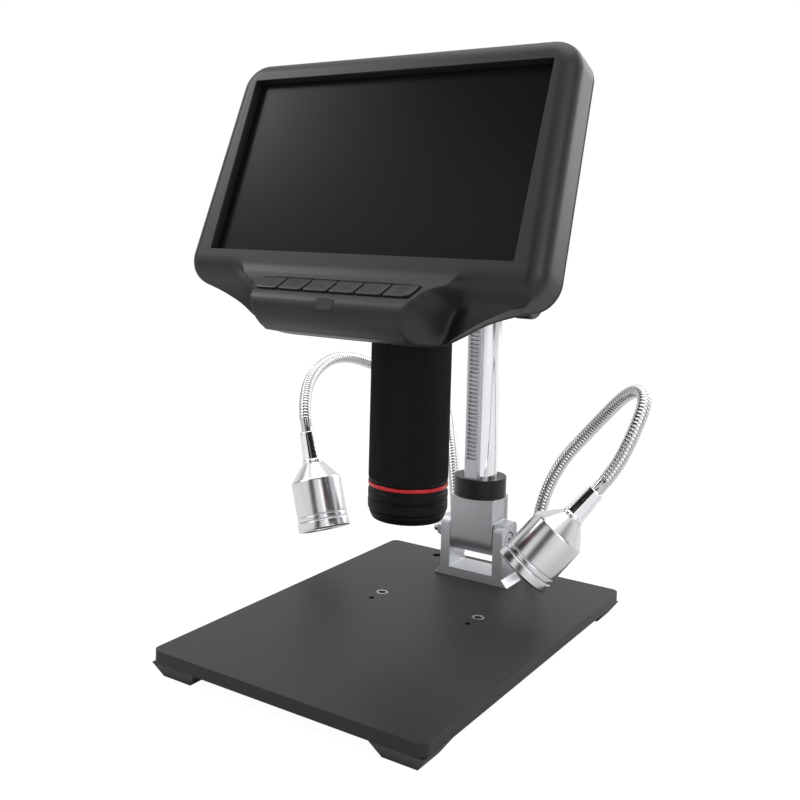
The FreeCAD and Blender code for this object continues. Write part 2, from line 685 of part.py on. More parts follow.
def chin_strip(inset, half):
    """The nose that carries the buttons on its sloping shelf."""
    top = -S["chin_top"] + inset * 0.2
    section = [(inset, top), (-S["shelf_out"] + inset * 1.2, top - S["shelf_drop"]),
               (-S["nose_out"] + inset, -S["chin_top"] - S["nose_drop"]),
               (-S["lip_out"] + inset, -S["chin_top"] - S["lip_drop"] + inset * 0.6),
               (S["flank_front"] + inset, -S["chin_down"] + inset),
               (S["case_split"], -S["chin_down"] + inset), (S["case_split"], top)]
    return strip(section, half - inset)


def front_solid(inset):
    """The front half of the housing, solid, drawn in by an inset."""
    case = case_slab(inset, inset, S["case_split"])
    if inset == 0:
        rim = [edge for edge in case.Edges if edge.BoundBox.YMax < 1e-6]
        case = case.makeFillet(S["case_edge"], rim)
    skirt = flank_slab(inset, S["flank_front"] + inset, S["case_split"])
    return case.fuse([skirt, chin_strip(inset, S["chin_half"])]).removeSplitter()


def shelf_frame():
    """Middle of the button shelf, its downhill direction and its outward normal."""
    run = Vector(0, -S["shelf_out"], -S["shelf_drop"])
    middle = Vector(0, 0, -S["chin_top"]) + run * 0.5
    down = run.normalize()
    normal = Vector(0, down.z, -down.y)
    return middle, down, normal


def on_shelf(points, low, high):
    """A solid standing on the shelf, from an outline in (across, downhill)."""
    middle, down, normal = shelf_frame()
    spots = [middle + X_AXIS * x + down * d + normal * low for x, d in points]
    return Part.Face(Part.makePolygon(spots + spots[:1])).extrude(normal * (high - low))


def button_outline(index, grow):
    """A leaning four-sided key, counted from the left."""
    centre = (index - 2.5) * S["button_pitch"]
    half, tall, slant = S["button_width"] / 2 + grow, S["button_long"] / 2 + grow, S["button_slant"] / 2
    return [(centre - half + slant, -tall), (centre + half + slant, -tall),
            (centre + half - slant, tall), (centre - half - slant, tall)]


def button(index):
    return on_shelf(button_outline(index, 0), -S["button_deep"], S["button_proud"])


def window_block(grow, low, high):
    """The small indicator window on the chin's nose, under the keys."""
    x, z = S["window_width"] / 2 + grow, S["window_height"] / 2 + grow
    middle = -S["chin_top"] - S["window_drop"]
    return slab([(-x, middle - z), (x, middle - z), (x, middle + z), (-x, middle + z)], low, high)


def barrel_hole():
    """The upright clear hole that the barrel stands in, in the part's frame."""
    base = Vector(0, value_of("barrel_y"), S["hump_low"] - 20)
    return Part.makeCylinder(S["barrel_radius"] + S["barrel_gap"], 160, base, Z_AXIS)


def front_bezel():
    view = slab([(-S["view_width"] / 2, -S["view_height"] / 2), (S["view_width"] / 2, -S["view_height"] / 2),
                 (S["view_width"] / 2, S["view_height"] / 2), (-S["view_width"] / 2, S["view_height"] / 2)],
                -1, S["recess"])
    case_room = case_slab(S["wall"], S["recess"], S["case_split"])
    chin_room = chin_strip(S["wall"], S["chin_half"]).fuse(
        flank_slab(S["wall"], S["flank_front"] + S["wall"], S["case_split"]))
    chin_room = chin_room.common(screen_box(S["case_half_low"], -S["case_down"] * 2,
                                            -S["view_height"] / 2 - S["panel_margin"], -20, 40))
    shell = front_solid(0).cut(case_room).cut(chin_room).cut(view)
    keys = [on_shelf(button_outline(index, S["button_gap"]), -20, 20) for index in range(6)]
    limit = slab([(-50, -72), (50, -72), (50, -50), (-50, -50)], -20, S["recess"])
    shell = shell.cut([key.common(limit) for key in keys])
    return shell.cut(window_block(0, -20, -S["nose_out"] + S["window_deep"] + 4))


def indicator_window():
    plug = window_block(0, -20, -S["nose_out"] + S["window_deep"] + 4)
    return plug.common(front_solid(0)).cut(chin_strip(S["wall"], S["chin_half"]))


def hump(inset):
    """The upright rear body round the barrel, cut off at the case's back plane."""
    back = value_of("barrel_y") + S["hump_back"] - inset
    front = S["screen_y"] - 50
    low, rise, top = S["hump_low"] + inset, S["hump_rise"] - inset, S["hump_top"] - inset
    points = [(front, low), (back, low), (back, rise), (back - 50, top), (front, top)]
    solid = strip(points, S["hump_half"] - inset)
    behind = slab([(-150, -160), (150, -160), (150, 90), (-150, 90)],
                  S["case_split"] + (0 if inset == 0 else -1), 200)
    return solid.common(lean_back(behind))


def rear_cover():
    case = case_slab(0, S["case_split"], S["case_deep"])
    rim = [edge for edge in case.Edges if edge.BoundBox.YMin > S["case_deep"] - 1e-6]
    case = case.makeFillet(S["case_edge"], rim)
    skirt = flank_slab(0, S["case_split"], S["case_deep"] - 3)
    outer = lean_back(case.fuse(skirt)).fuse(hump(0)).removeSplitter()
    room = lean_back(case_slab(S["wall"], S["case_split"] - 1, S["case_deep"] - S["wall"]).fuse(
        flank_slab(S["wall"], S["case_split"] - 1, S["case_deep"] - 3 - S["wall"])))
    shell = outer.cut(room.fuse(hump(S["wall"]))).cut(barrel_hole().common(lower_half()))
    screws = [head_screw_shape(x, z) for x, z in screw_spots()]
    return shell.cut(screws).cut(port_boxes(0))


def lower_half():
    """Everything under the middle of the hump."""
    return Part.makeBox(200, 200, 40, Vector(-100, -120, S["hump_low"] - 20))


def head_screw_shape(x, z):
    start = Vector(value_of(x), value_of(f"{plate_front}") - S["wall"], value_of(z))
    return Part.makeCylinder(S["head_screw_radius"], S["wall"], start, Y_AXIS)


def port_boxes(grow):
    """Sockets in the right wall of the hump: a video port above a data port."""
    x0 = S["hump_half"] - S["port_deep"]
    y0 = value_of("barrel_y") - S["port_width"] / 2
    boxes = []
    for rise in (0, 1):
        z0 = S["hump_low"] + S["port_place"] + rise * S["port_height"] * 2.2
        boxes.append(Part.makeBox(S["port_deep"] + 0.5 * (1 - grow), S["port_width"], S["port_height"],
                                  Vector(x0, y0, z0)))
    return Part.makeCompound(boxes)


def side_ports():
    """Two generic sockets, each a shell open to the side."""
    shells = []
    for block in port_boxes(1).Solids:
        box_of = block.BoundBox
        mouth = Part.makeBox(S["port_deep"] - 1, S["port_width"] - 2, S["port_height"] - 2,
                             Vector(box_of.XMin + 1, box_of.YMin + 1, box_of.ZMin + 1))
        shells.append(block.cut(mouth))
    return Part.makeCompound(shells)


def screen_box(half_x, low, high, deep_from, deep_to):
    return slab([(-half_x, low), (half_x, low), (half_x, high), (-half_x, high)], deep_from, deep_to)


def lcd_panel():
    margin = S["panel_margin"]
    low, high = -S["view_height"] / 2 - margin * 0.8, S["view_height"] / 2 + margin * 0.8
    return screen_box(S["view_width"] / 2 + margin, low, high, S["recess"], S["recess"] + S["panel_thick"])


def main_board():
    start = S["recess"] + S["panel_thick"] + S["board_gap"]
    half, tall = S["board_width"] / 2, S["board_height"] / 2
    board = screen_box(half, -tall, tall, start, start + S["board_thick"])
    posts = [Part.makeCylinder(S["standoff_radius"], S["board_gap"],
                               Vector(x * (half - 5), start - S["board_gap"], z * (tall - 5)), Y_AXIS)
             for x in (-1, 1) for z in (-1, 1)]
    return board.fuse(posts)


def button_board():
    """The key board, just under the keys' travel."""
    depth = -S["button_deep"] - S["button_rest"]
    half, tall = S["keyboard_long"] / 2 - 4, S["keyboard_tall"] / 2
    board = on_shelf([(-half, -tall), (half, -tall), (half, tall), (-half, tall)],
                     depth - S["keyboard_thick"], depth)
    return board.common(chin_strip(S["wall"] + 0.1, S["chin_half"]))


keep("front_bezel", shaped(lean_back(front_bezel())))
keep("indicator_window", shaped(lean_back(indicator_window())))
keep("rear_cover", shaped(rear_cover()))
keep("side_ports", shaped(side_ports()))
keep("lcd_panel", shaped(lean_back(lcd_panel())))
keep("main_board", shaped(lean_back(main_board())))
keep("button_board", shaped(lean_back(button_board())))
BUTTONS = ("power", "menu", "up", "down", "confirm", "capture")
for index, name in enumerate(BUTTONS):
    keep(f"button_{name}", shaped(lean_back(button(index))))


# Camera barrel: everything on one upright axis
def turned(name, points):
    """A piece turned about the barrel's axis, from (radius, height) corners."""
    owner = body(name)
    sketch = sketch_on(owner, "XZ_Plane")
    outline(sketch, points)
    revolve(owner, sketch)
    place(owner, y="barrel_y")
    return owner


keep("lens_tube", turned("LensTube", [
    ("tube_radius - tube_wall", "barrel_low + nose_taper_tall + 1"),
    ("tube_radius", "barrel_low + nose_taper_tall + 1"), ("tube_radius", "barrel_top"),
    ("tube_radius - tube_wall", "barrel_top")]))
keep("barrel_sleeve", turned("BarrelSleeve", [
    ("tube_radius", "sleeve_low"), ("barrel_radius", "sleeve_low"), ("barrel_radius", "barrel_top"),
    ("tube_radius", "barrel_top")]))
keep("red_ring", turned("RedRing", [
    ("tube_radius", "ring_low"), ("barrel_radius", "ring_low"), ("barrel_radius", "sleeve_low"),
    ("tube_radius", "sleeve_low")]))
keep("focus_ring", turned("FocusRing", [
    ("nose_bore", "barrel_low"), ("barrel_radius - nose_taper", "barrel_low"),
    ("barrel_radius", "barrel_low + nose_taper_tall"), ("barrel_radius", "nose_top"),
    ("tube_radius + focus_gap", "nose_top"), ("tube_radius + focus_gap", "barrel_low + nose_taper_tall"),
    ("nose_bore", "barrel_low + nose_taper_tall")]))
keep("lens_cell", turned("LensCell", [
    ("lens_radius", "nose_top"), ("tube_radius - tube_wall", "nose_top"),
    ("tube_radius - tube_wall", "nose_top + lens_thick"), ("lens_radius", "nose_top + lens_thick")]))
keep("objective_lens", cylinder("lens_radius", "lens_thick", "0", "barrel_y", "nose_top"))


def sensor_board():
    """The sensor on its round board, at the top of the tube."""
    disc = cylinder("barrel_radius", "sensor_thick / 2", "0", "barrel_y", "barrel_top")
    half = "sensor_size / 2"
    chip = box(f"-{half}", half, f"barrel_y - {half}", f"barrel_y + {half}",
               "barrel_top - sensor_thick / 2", "barrel_top")
    return fuse([disc, chip])


keep("sensor_board", sensor_board())


# Gooseneck arms and lamps
def arm_path(points):
    """Straight runs joined by tangent arcs, as large as the runs allow, as edges."""
    spots = [Vector(*point) for point in points]
    edges, radii, at = [], [], spots[0]
    for before, here, after in zip(spots, spots[1:], spots[2:]):
        back, on = before - here, after - here
        trim = 0.45 * min(back.Length, on.Length)
        back.normalize()
        on.normalize()
        half = (math.pi - back.getAngle(on)) / 2
        radius = trim / math.tan(half)
        middle = (back + on).normalize() * (radius / math.cos(half) - radius)
        start, end = here + back * trim, here + on * trim
        edges.append(Part.LineSegment(at, start).toShape())
        edges.append(Part.Arc(start, here + middle, end).toShape())
        radii.append(round(radius, 1))
        at = end
    edges.append(Part.LineSegment(at, spots[-1]).toShape())
    return edges, radii


def stations(edges, distances):
    """Place and direction at each distance along the edges."""
    found, passed, index = [], 0.0, 0
    for distance in distances:
        while index < len(edges) - 1 and distance > passed + edges[index].Length:
            passed += edges[index].Length
            index += 1
        edge = edges[index]
        along_edge = min(distance - passed, edge.Length)
        parameter = edge.getParameterByLength(along_edge)
        found.append((edge.valueAt(parameter), edge.tangentAt(parameter)))
    return found


def ring_wires(edges, rows):
    """A circle for each (distance, radius), all on one carried X direction."""
    across, wires = X_AXIS, []
    for (spot, direction), (_, radius) in zip(stations(edges, [row[0] for row in rows]), rows):
        across = (across - direction * across.dot(direction)).normalize()
        circle = Part.Circle(spot, direction, radius)
        circle.XAxis = across
        wires.append(Part.Wire(circle.toShape()))
    return wires


def gooseneck(points):
    """A ribbed metal arm with its bore; its ends are plain for one diameter."""
    edges, radii = arm_path(points)
    length = sum(edge.Length for edge in edges)
    plain = 2 * S["arm_radius"]
    ribs = int(S["arm_ribs"])
    pitch = (length - 2 * plain) / ribs
    crest, trough = S["arm_radius"], S["arm_radius"] - S["rib_sink"]
    rows = [(0, trough)]
    for step in range(ribs):
        start = plain + step * pitch
        rows += [(start + 0.05 * pitch, trough), (start + 0.3 * pitch, crest),
                 (start + 0.7 * pitch, crest), (start + 0.95 * pitch, trough)]
    rows.append((length, trough))
    outer = Part.makeLoft(ring_wires(edges, rows), True, True)
    spacing = length / 80
    bore_rows = [(step * spacing, S["arm_bore"]) for step in range(81)]
    inner = Part.makeLoft(ring_wires(edges, bore_rows), True, True)
    expected = math.pi * (S["arm_radius"] - S["rib_sink"] / 2) ** 2 * length
    print("gooseneck radii", radii, "pitch", round(pitch, 2), "length", round(length, 1),
          "volume share", round(outer.Volume / expected, 3))
    faces = [face for face in outer.Faces if face.Surface.TypeId != "Part::GeomPlane"]
    faces += [face for face in inner.Faces if face.Surface.TypeId != "Part::GeomPlane"]
    ends = [(row_wires[0], row_wires[1]) for row_wires in
            ((ring_wires(edges, rows)[k], ring_wires(edges, bore_rows)[k]) for k in (0, -1))]
    faces += [Part.makeFace([wide, slim], "Part::FaceMakerBullseye") for wide, slim in ends]
    solid = Part.Solid(Part.Shell(faces))
    solid.fix(1e-4, 1e-4, 1e-4)
    return solid if solid.Volume > 0 else solid.reversed()


def lamp_frame(points):
    """Where the lamp starts and which way it points."""
    end = Vector(*points[-1])
    return end, (end - Vector(*points[-2])).normalize()


def spun(points, rows):
    """A lamp piece turned about the lamp's axis, from (radius, distance) corners."""
    start, direction = lamp_frame(points)
    wire = Part.makePolygon([Vector(radius, 0, far) for radius, far in rows + rows[:1]])
    solid = Part.Face(wire).revolve(Vector(0, 0, 0), Z_AXIS, 360)
    solid.Placement = FreeCAD.Placement(start, FreeCAD.Rotation(Z_AXIS, direction))
    return solid


def lamp_pieces(points):
    """Ferrule, head, front ring, lens and light board of one lamp."""
    neck, shoulder = S["ferrule_long"], S["ferrule_long"] + S["lamp_shoulder_long"]
    face = shoulder + S["lamp_body_long"]
    rim = face + S["lamp_ring_long"]
    wall = S["lamp_wall"]
    inner = S["lamp_radius"] - wall
    lens_back = rim - S["lamp_lens_sink"] - S["lamp_lens_thick"]
    board_front = lens_back - S["led_tall"] - 1
    ferrule = spun(points, [(S["arm_bore"], 0), (S["ferrule_root"], 0), (S["ferrule_end"], neck),
                            (S["arm_bore"], neck)])
    head = spun(points, [(S["arm_bore"], neck), (S["lamp_shoulder_radius"], neck),
                         (S["lamp_radius"], shoulder), (S["lamp_radius"], face), (inner, face),
                         (inner, shoulder + wall), (S["arm_bore"], neck + 2 * wall)])
    ring = spun(points, [(inner, face), (S["lamp_ring_radius"], face), (S["lamp_ring_radius"], rim),
                         (inner, rim)])
    lens = spun(points, [(0, lens_back), (inner, lens_back), (inner, rim - S["lamp_lens_sink"]),
                         (0, rim - S["lamp_lens_sink"])])
    board = spun(points, [(0, board_front - S["led_board_thick"]),
                          (inner, board_front - S["led_board_thick"]), (inner, board_front),
                          (0, board_front)])
    start, direction = lamp_frame(points)
    turned_to = FreeCAD.Placement(start, FreeCAD.Rotation(Z_AXIS, direction))
    lights = []
    for step in range(6):
        angle = math.radians(60 * step)
        spot = Vector(S["led_ring"] * math.cos(angle), S["led_ring"] * math.sin(angle), board_front)
        light = Part.makeCylinder(S["led_radius"], S["led_tall"], spot, Z_AXIS)
        light.Placement = turned_to.multiply(light.Placement)
        lights.append(light)
    return {"ferrule": ferrule, "lamp_head": head, "lamp_ring": ring, "lamp_lens": lens,
            "light_board": board.fuse(lights)}


def arm_socket(way):
    """The bush that a gooseneck stands in: a collar above the plate and a thread through it."""
    x = f"{way} * arm_spacing / 2"
    collar = cylinder("socket_radius", "socket_tall", x, "arm_place", "base_top")
    thread = cylinder("arm_thread_radius", "base_thick + arm_nut_thick", x, "arm_place",
                      "foot_height - arm_nut_thick")
    bore = cylinder("arm_bore", "base_thick + arm_nut_thick + socket_tall", x, "arm_place",
                    "foot_height - arm_nut_thick")
    return cut(fuse([collar, thread]), [bore])


def arm_nut(way):
    x = f"{way} * arm_spacing / 2"
    low = "foot_height - arm_nut_thick"
    return cut(prism(6, "arm_nut_radius", "arm_nut_thick", x, "arm_place", low),
               [cylinder("arm_thread_radius", "arm_nut_thick", x, "arm_place", low)])


keep("arm_sockets", group([arm_socket(way) for _, way in SIDES]))
keep("arm_nuts", group([arm_nut(way) for _, way in SIDES]))
for side, way in SIDES:
    route = ARM_LEFT if way < 0 else ARM_RIGHT
    root = (way * S["arm_spacing"] / 2, S["arm_place"], value_of("socket_top"))
    route = [root] + route[1:]
    keep(f"gooseneck_{side}", shaped(gooseneck(route)))
    for piece, shape in lamp_pieces(route).items():
        keep(f"{piece}_{side}", shaped(shape))

doc.recompute()

# Every object is sound, and each piece is written to its own file
for thing in doc.Objects:
    if "Invalid" in thing.State or "Error" in thing.State:
        raise RuntimeError(f"{thing.Name} {thing.Label} did not build")
os.makedirs("parts", exist_ok=True)
for label, thing in parts.items():
    shape = thing.Shape
    if shape.isNull() or not shape.isValid() or shape.Volume <= 0:
        raise RuntimeError(f"{label} has no valid shape")
    shape.exportStep(f"parts/{label}.step")
print(len(parts), "pieces")
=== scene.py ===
import json
import math

import bmesh
import bpy
import numpy as np
from mathutils import Matrix, Vector


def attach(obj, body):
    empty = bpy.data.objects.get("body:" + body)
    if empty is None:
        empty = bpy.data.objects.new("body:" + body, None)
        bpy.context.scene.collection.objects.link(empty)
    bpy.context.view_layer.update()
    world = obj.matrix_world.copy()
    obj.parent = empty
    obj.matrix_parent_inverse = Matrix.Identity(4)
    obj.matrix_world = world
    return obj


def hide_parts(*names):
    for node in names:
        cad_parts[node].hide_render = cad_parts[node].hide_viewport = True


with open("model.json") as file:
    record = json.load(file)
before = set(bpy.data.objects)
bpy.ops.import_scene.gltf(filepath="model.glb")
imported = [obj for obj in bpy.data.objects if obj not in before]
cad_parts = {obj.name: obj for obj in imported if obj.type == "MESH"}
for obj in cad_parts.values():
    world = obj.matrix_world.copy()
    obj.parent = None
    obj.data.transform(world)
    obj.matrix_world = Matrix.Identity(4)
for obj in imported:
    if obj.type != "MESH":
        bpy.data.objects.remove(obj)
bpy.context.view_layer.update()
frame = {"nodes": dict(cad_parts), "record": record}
nodes = frame["nodes"]
bodyOf = {node: body for body, members in frame["record"]["behaviour"]["bodies"].items()
          for node in members}
mm = 0.001
print("frame loaded:", len(nodes), "nodes")


# Camera, floor and light
studio = {
    "cameraPlace": (0.24995, -0.42157, 0.2030), "cameraYaw": 34.8435, "cameraPitch": 3.7328,
    "cameraRoll": 1.2906, "lens": 46.2075, "sensor": 36.0, "shiftX": 0.075, "shiftY": -0.1375,
    "floorSize": 8.0, "ambient": 0.30, "floorGlow": 0.88, "glowStrength": 1.10,
    "flags": {  # dark panels seen by mirror rays only: place, width, height
        "flagFront": ((0.12, -1.40, 0.35), 0.60, 1.8),
        "flagLeft": ((-1.45, -0.10, 0.35), 0.50, 1.8),
        "flagRight": ((1.35, 0.10, 0.35), 0.50, 1.8),
        "flagOver": ((-0.25, -0.85, 1.25), 1.6, 0.30),
    },
    "lamps": {  # place, aim, size, watts
        "keyLeft": ((-1.38, -0.62, 1.40), (0, 0, 0.15), 0.55, 13),
        "fillRight": ((1.5, -0.7, 0.8), (0, 0, 0.15), 1.0, 9),
        "topSoft": ((0.0, 0.1, 1.7), (0, 0, 0.1), 1.4, 12),
        "rimBack": ((0.5, 1.4, 0.7), (0, 0, 0.2), 1.0, 8),
    },
}


# Back, right and up axes from yaw and pitch, then rolled about the view line
def setCamera(plan):
    a, e, r = (math.radians(plan[key]) for key in ("cameraYaw", "cameraPitch", "cameraRoll"))
    back = np.array([math.sin(a) * math.cos(e), -math.cos(a) * math.cos(e), math.sin(e)])
    right = np.array([math.cos(a), math.sin(a), 0])
    up = np.cross(right, -back)
    axes = (right * math.cos(r) + up * math.sin(r), -right * math.sin(r) + up * math.cos(r), back)
    camera = bpy.data.objects.new("camera", bpy.data.cameras.new("camera"))
    bpy.context.scene.collection.objects.link(camera)
    placed = [[axes[c][k] for c in range(3)] + [plan["cameraPlace"][k]] for k in range(3)]
    camera.matrix_world = Matrix([*placed, [0, 0, 0, 1]])
    camera.data.lens, camera.data.sensor_width = plan["lens"], plan["sensor"]
    camera.data.shift_x, camera.data.shift_y = plan["shiftX"], plan["shiftY"]
    bpy.context.scene.camera = camera


# Square area lamps, each turned to its aim
def setLamps(plan):
    for name, (place, aim, size, watts) in plan["lamps"].items():
        lamp = bpy.data.objects.new(name, bpy.data.lights.new(name, "AREA"))
        lamp.data.size, lamp.data.energy = size, watts
        lamp.location = place
        way = Vector(aim) - Vector(place)
        lamp.rotation_euler = way.to_track_quat("-Z", "Y").to_euler()
        bpy.context.scene.collection.objects.link(lamp)


# Each flag stands square to the line from its middle to the part
def setFlags(plan):
    skin = bpy.data.materials.new("flagBlack")
    skin.use_nodes = True
    shader = skin.node_tree.nodes["Principled BSDF"]
    shader.inputs["Base Color"].default_value = (0.01, 0.01, 0.01, 1)
    shader.inputs["Specular IOR Level"].default_value = 0.0
    for name, (place, wide, high) in plan["flags"].items():
        mesh = bpy.data.meshes.new(name)
        w, t = wide / 2, high / 2
        mesh.from_pydata([(-w, -t, 0), (w, -t, 0), (w, t, 0), (-w, t, 0)], [], [(0, 1, 2, 3)])
        mesh.materials.append(skin)
        flag = bpy.data.objects.new(name, mesh)
        bpy.context.scene.collection.objects.link(flag)
        way = Vector((0, 0, 0.15)) - Vector(place)
        flag.matrix_world = Matrix.Translation(place) @ way.to_track_quat("Z", "Y").to_matrix().to_4x4()
        flag.visible_camera = flag.visible_shadow = False
        flag.visible_diffuse = flag.visible_transmission = False


# The world is white to camera, mirror and glass rays and lights the rest at the ambient strength;
# the floor mixes a glow for camera rays over its own shading, so it keeps the shadow
def setFloorAndWorld(plan):
    world = bpy.data.worlds.new("studioWorld")
    world.use_nodes = True
    bpy.context.scene.world = world
    tree = world.node_tree
    back, path = tree.nodes["Background"], tree.nodes.new("ShaderNodeLightPath")
    back.inputs["Color"].default_value = (1, 1, 1, 1)
    seen, either, power = (tree.nodes.new("ShaderNodeMath") for _ in range(3))
    seen.operation, either.operation, power.operation = "MAXIMUM", "MAXIMUM", "MULTIPLY_ADD"
    tree.links.new(path.outputs["Is Camera Ray"], seen.inputs[0])
    tree.links.new(path.outputs["Is Glossy Ray"], seen.inputs[1])
    tree.links.new(seen.outputs[0], either.inputs[0])
    tree.links.new(path.outputs["Is Transmission Ray"], either.inputs[1])
    tree.links.new(either.outputs[0], power.inputs[0])
    power.inputs[1].default_value = 1 - plan["ambient"]
    power.inputs[2].default_value = plan["ambient"]
    tree.links.new(power.outputs[0], back.inputs["Strength"])
    half = plan["floorSize"] / 2
    mesh = bpy.data.meshes.new("floor")
    mesh.from_pydata([(-half, -half, 0), (half, -half, 0), (half, half, 0), (-half, half, 0)], [],
                     [(0, 1, 2, 3)])
    floor = bpy.data.objects.new("floor", mesh)
    bpy.context.scene.collection.objects.link(floor)
    skin = bpy.data.materials.new("paleFloor")
    skin.use_nodes = True
    tree = skin.node_tree
    shader, out = tree.nodes["Principled BSDF"], tree.nodes["Material Output"]
    shader.inputs["Base Color"].default_value = (0.95, 0.95, 0.95, 1)
    shader.inputs["Roughness"].default_value = 0.9
    path, share, glow, mix = (tree.nodes.new(kind) for kind in (
        "ShaderNodeLightPath", "ShaderNodeMath", "ShaderNodeEmission", "ShaderNodeMixShader"))
    share.operation = "MULTIPLY"
    share.inputs[1].default_value = plan["floorGlow"]
    glow.inputs["Strength"].default_value = plan["glowStrength"]
    tree.links.new(path.outputs["Is Camera Ray"], share.inputs[0])
    tree.links.new(share.outputs[0], mix.inputs["Fac"])
    tree.links.new(shader.outputs[0], mix.inputs[1])
    tree.links.new(glow.outputs[0], mix.inputs[2])
    tree.links.new(mix.outputs[0], out.inputs["Surface"])
    mesh.materials.append(skin)


setCamera(studio)
setLamps(studio)
setFloorAndWorld(studio)
setFlags(studio)
bpy.context.scene.view_settings.view_transform = "Standard"
print("studio ready")


# Materials: each reads Object coordinates; bumpHeight is the depth in metres of a full-strength bump
bumpHeight = 0.00006


# Base colour drifts with broad noise; fine noise gives the bump and the roughness drift.
def finish(name, colour, metallic, roughness, grain=400.0, bump=0.1, vary=0.15, spots=40.0,
           specular=0.5, drift=0.08):
    material = bpy.data.materials.new(name)
    material.use_nodes = True
    tree = material.node_tree
    shader = tree.nodes["Principled BSDF"]
    where, fine, broad = (tree.nodes.new(kind) for kind in (
        "ShaderNodeTexCoord", "ShaderNodeTexNoise", "ShaderNodeTexNoise"))
    fine.inputs["Scale"].default_value, broad.inputs["Scale"].default_value = grain, spots
    fine.inputs["Detail"].default_value = 4
    tree.links.new(where.outputs["Object"], fine.inputs["Vector"])
    tree.links.new(where.outputs["Object"], broad.inputs["Vector"])
    tint, gloss, relief = (tree.nodes.new(kind) for kind in (
        "ShaderNodeMix", "ShaderNodeMapRange", "ShaderNodeBump"))
    tint.data_type = "RGBA"
    tint.inputs["A"].default_value = (*[c * (1 - vary) for c in colour], 1)
    tint.inputs["B"].default_value = (*[min(1, c * (1 + vary)) for c in colour], 1)
    tree.links.new(broad.outputs["Fac"], tint.inputs["Factor"])
    tree.links.new(tint.outputs["Result"], shader.inputs["Base Color"])
    gloss.inputs["To Min"].default_value = max(0.02, roughness - drift)
    gloss.inputs["To Max"].default_value = roughness + drift
    tree.links.new(fine.outputs["Fac"], gloss.inputs["Value"])
    tree.links.new(gloss.outputs["Result"], shader.inputs["Roughness"])
    relief.inputs["Strength"].default_value = bump
    relief.inputs["Distance"].default_value = bumpHeight
    tree.links.new(fine.outputs["Fac"], relief.inputs["Height"])
    tree.links.new(relief.outputs["Normal"], shader.inputs["Normal"])
    shader.inputs["Metallic"].default_value = metallic
    shader.inputs["Specular IOR Level"].default_value = specular
    return material


finishes = {
    "housing": finish("housingPlastic", (0.0085, 0.0085, 0.0095), 0, 0.44, grain=2600, bump=0.25,
                      specular=0.38),
    "keys": finish("keyPlastic", (0.011, 0.011, 0.012), 0, 0.42, grain=2600, bump=0.15, specular=0.4),
    "symbols": finish("symbolInk", (0.003, 0.003, 0.003), 0, 0.6, bump=0.02),
    "screen": finish("screenGlass", (0.0045, 0.0040, 0.0060), 0, 0.24, bump=0.0, specular=0.13,
                     drift=0.0),
    "powder": finish("powderCoat", (0.0075, 0.0075, 0.008), 0, 0.48, grain=1500, bump=0.35, spots=14,
                     specular=0.36),
    "rubber": finish("footRubber", (0.018, 0.018, 0.018), 0, 0.6, grain=900, bump=0.3),
    "blasted": finish("blastedAluminium", (0.55, 0.56, 0.58), 0.85, 0.42, grain=2200, bump=0.4,
                      vary=0.07),
    "chrome": finish("polishedSteel", (0.80, 0.81, 0.83), 1, 0.10, bump=0.01, vary=0.03, drift=0.02),
    "spring": finish("springSteel", (0.56, 0.57, 0.58), 1, 0.16, bump=0.01, vary=0.05),
    "steel": finish("screwSteel", (0.50, 0.50, 0.52), 1, 0.30, bump=0.08),
    "lamp": finish("turnedAluminium", (0.66, 0.66, 0.68), 1.0, 0.25, grain=900, bump=0.01, vary=0.02,
                   drift=0.02),
    "barrel": finish("barrelBlack", (0.0035, 0.0035, 0.004), 0, 0.5, grain=1200, bump=0.1,
                     specular=0.12),
    "red": finish("redRing", (0.50, 0.012, 0.018), 0.4, 0.28, bump=0.03),
    "collar": finish("collarPlastic", (0.006, 0.006, 0.0065), 0, 0.38, bump=0.1, specular=0.3),
    "brass": finish("linerBrass", (0.62, 0.45, 0.18), 1, 0.3),
    "board": finish("boardGreen", (0.02, 0.09, 0.04), 0, 0.4),
    "reflector": finish("lampReflector", (0.62, 0.62, 0.64), 1, 0.2, bump=0.02),
    "diode": finish("diodeAmber", (0.75, 0.62, 0.20), 0, 0.25, bump=0.02),
    # Painted shade: a near-black for the flat ring round the indicator, standing for the shade in its
    # groove
    "ink": finish("paintedGrooveShade", (0.004, 0.004, 0.004), 0, 0.7, bump=0.05),
}
glass = bpy.data.materials.new("lampGlass")
glass.use_nodes = True
glass.node_tree.nodes["Principled BSDF"].inputs["Transmission Weight"].default_value = 1.0
glass.node_tree.nodes["Principled BSDF"].inputs["Roughness"].default_value = 0.03
glass.node_tree.nodes["Principled BSDF"].inputs["Base Color"].default_value = (0.93, 0.95, 0.97, 1)
finishes["glass"] = glass
print("finishes ready:", len(finishes))


# Mesh helpers
# A piece from points, an array (n, 3) in metres, and faces, a list of corner numbers.
def addMesh(name, points, faces, skin, body, slotName, replaced=(), sharp=35):
    mesh = bpy.data.meshes.new(name)
    mesh.from_pydata(points.tolist(), [], faces)
    made = bmesh.new()
    made.from_mesh(mesh)
    bmesh.ops.remove_doubles(made, verts=made.verts, dist=1e-7)
    bmesh.ops.recalc_face_normals(made, faces=made.faces)
    made.to_mesh(mesh)
    made.free()
    mesh.materials.append(finishes[skin])
    mesh.polygons.foreach_set("use_smooth", np.ones(len(mesh.polygons), bool))
    mesh.set_sharp_from_angle(angle=math.radians(sharp))
    piece = bpy.data.objects.new(name, mesh)
    bpy.context.scene.collection.objects.link(piece)
    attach(piece, body)
    if replaced:
        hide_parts(*replaced)
    return piece


# Quads of a grid whose columns close into a ring.
def gridFaces(rows, columns):
    r, c = np.meshgrid(np.arange(rows - 1), np.arange(columns), indexing="ij")
    a, b = r * columns + c, r * columns + (c + 1) % columns
    return np.stack([a, b, b + columns, a + columns], -1).reshape(-1, 4)


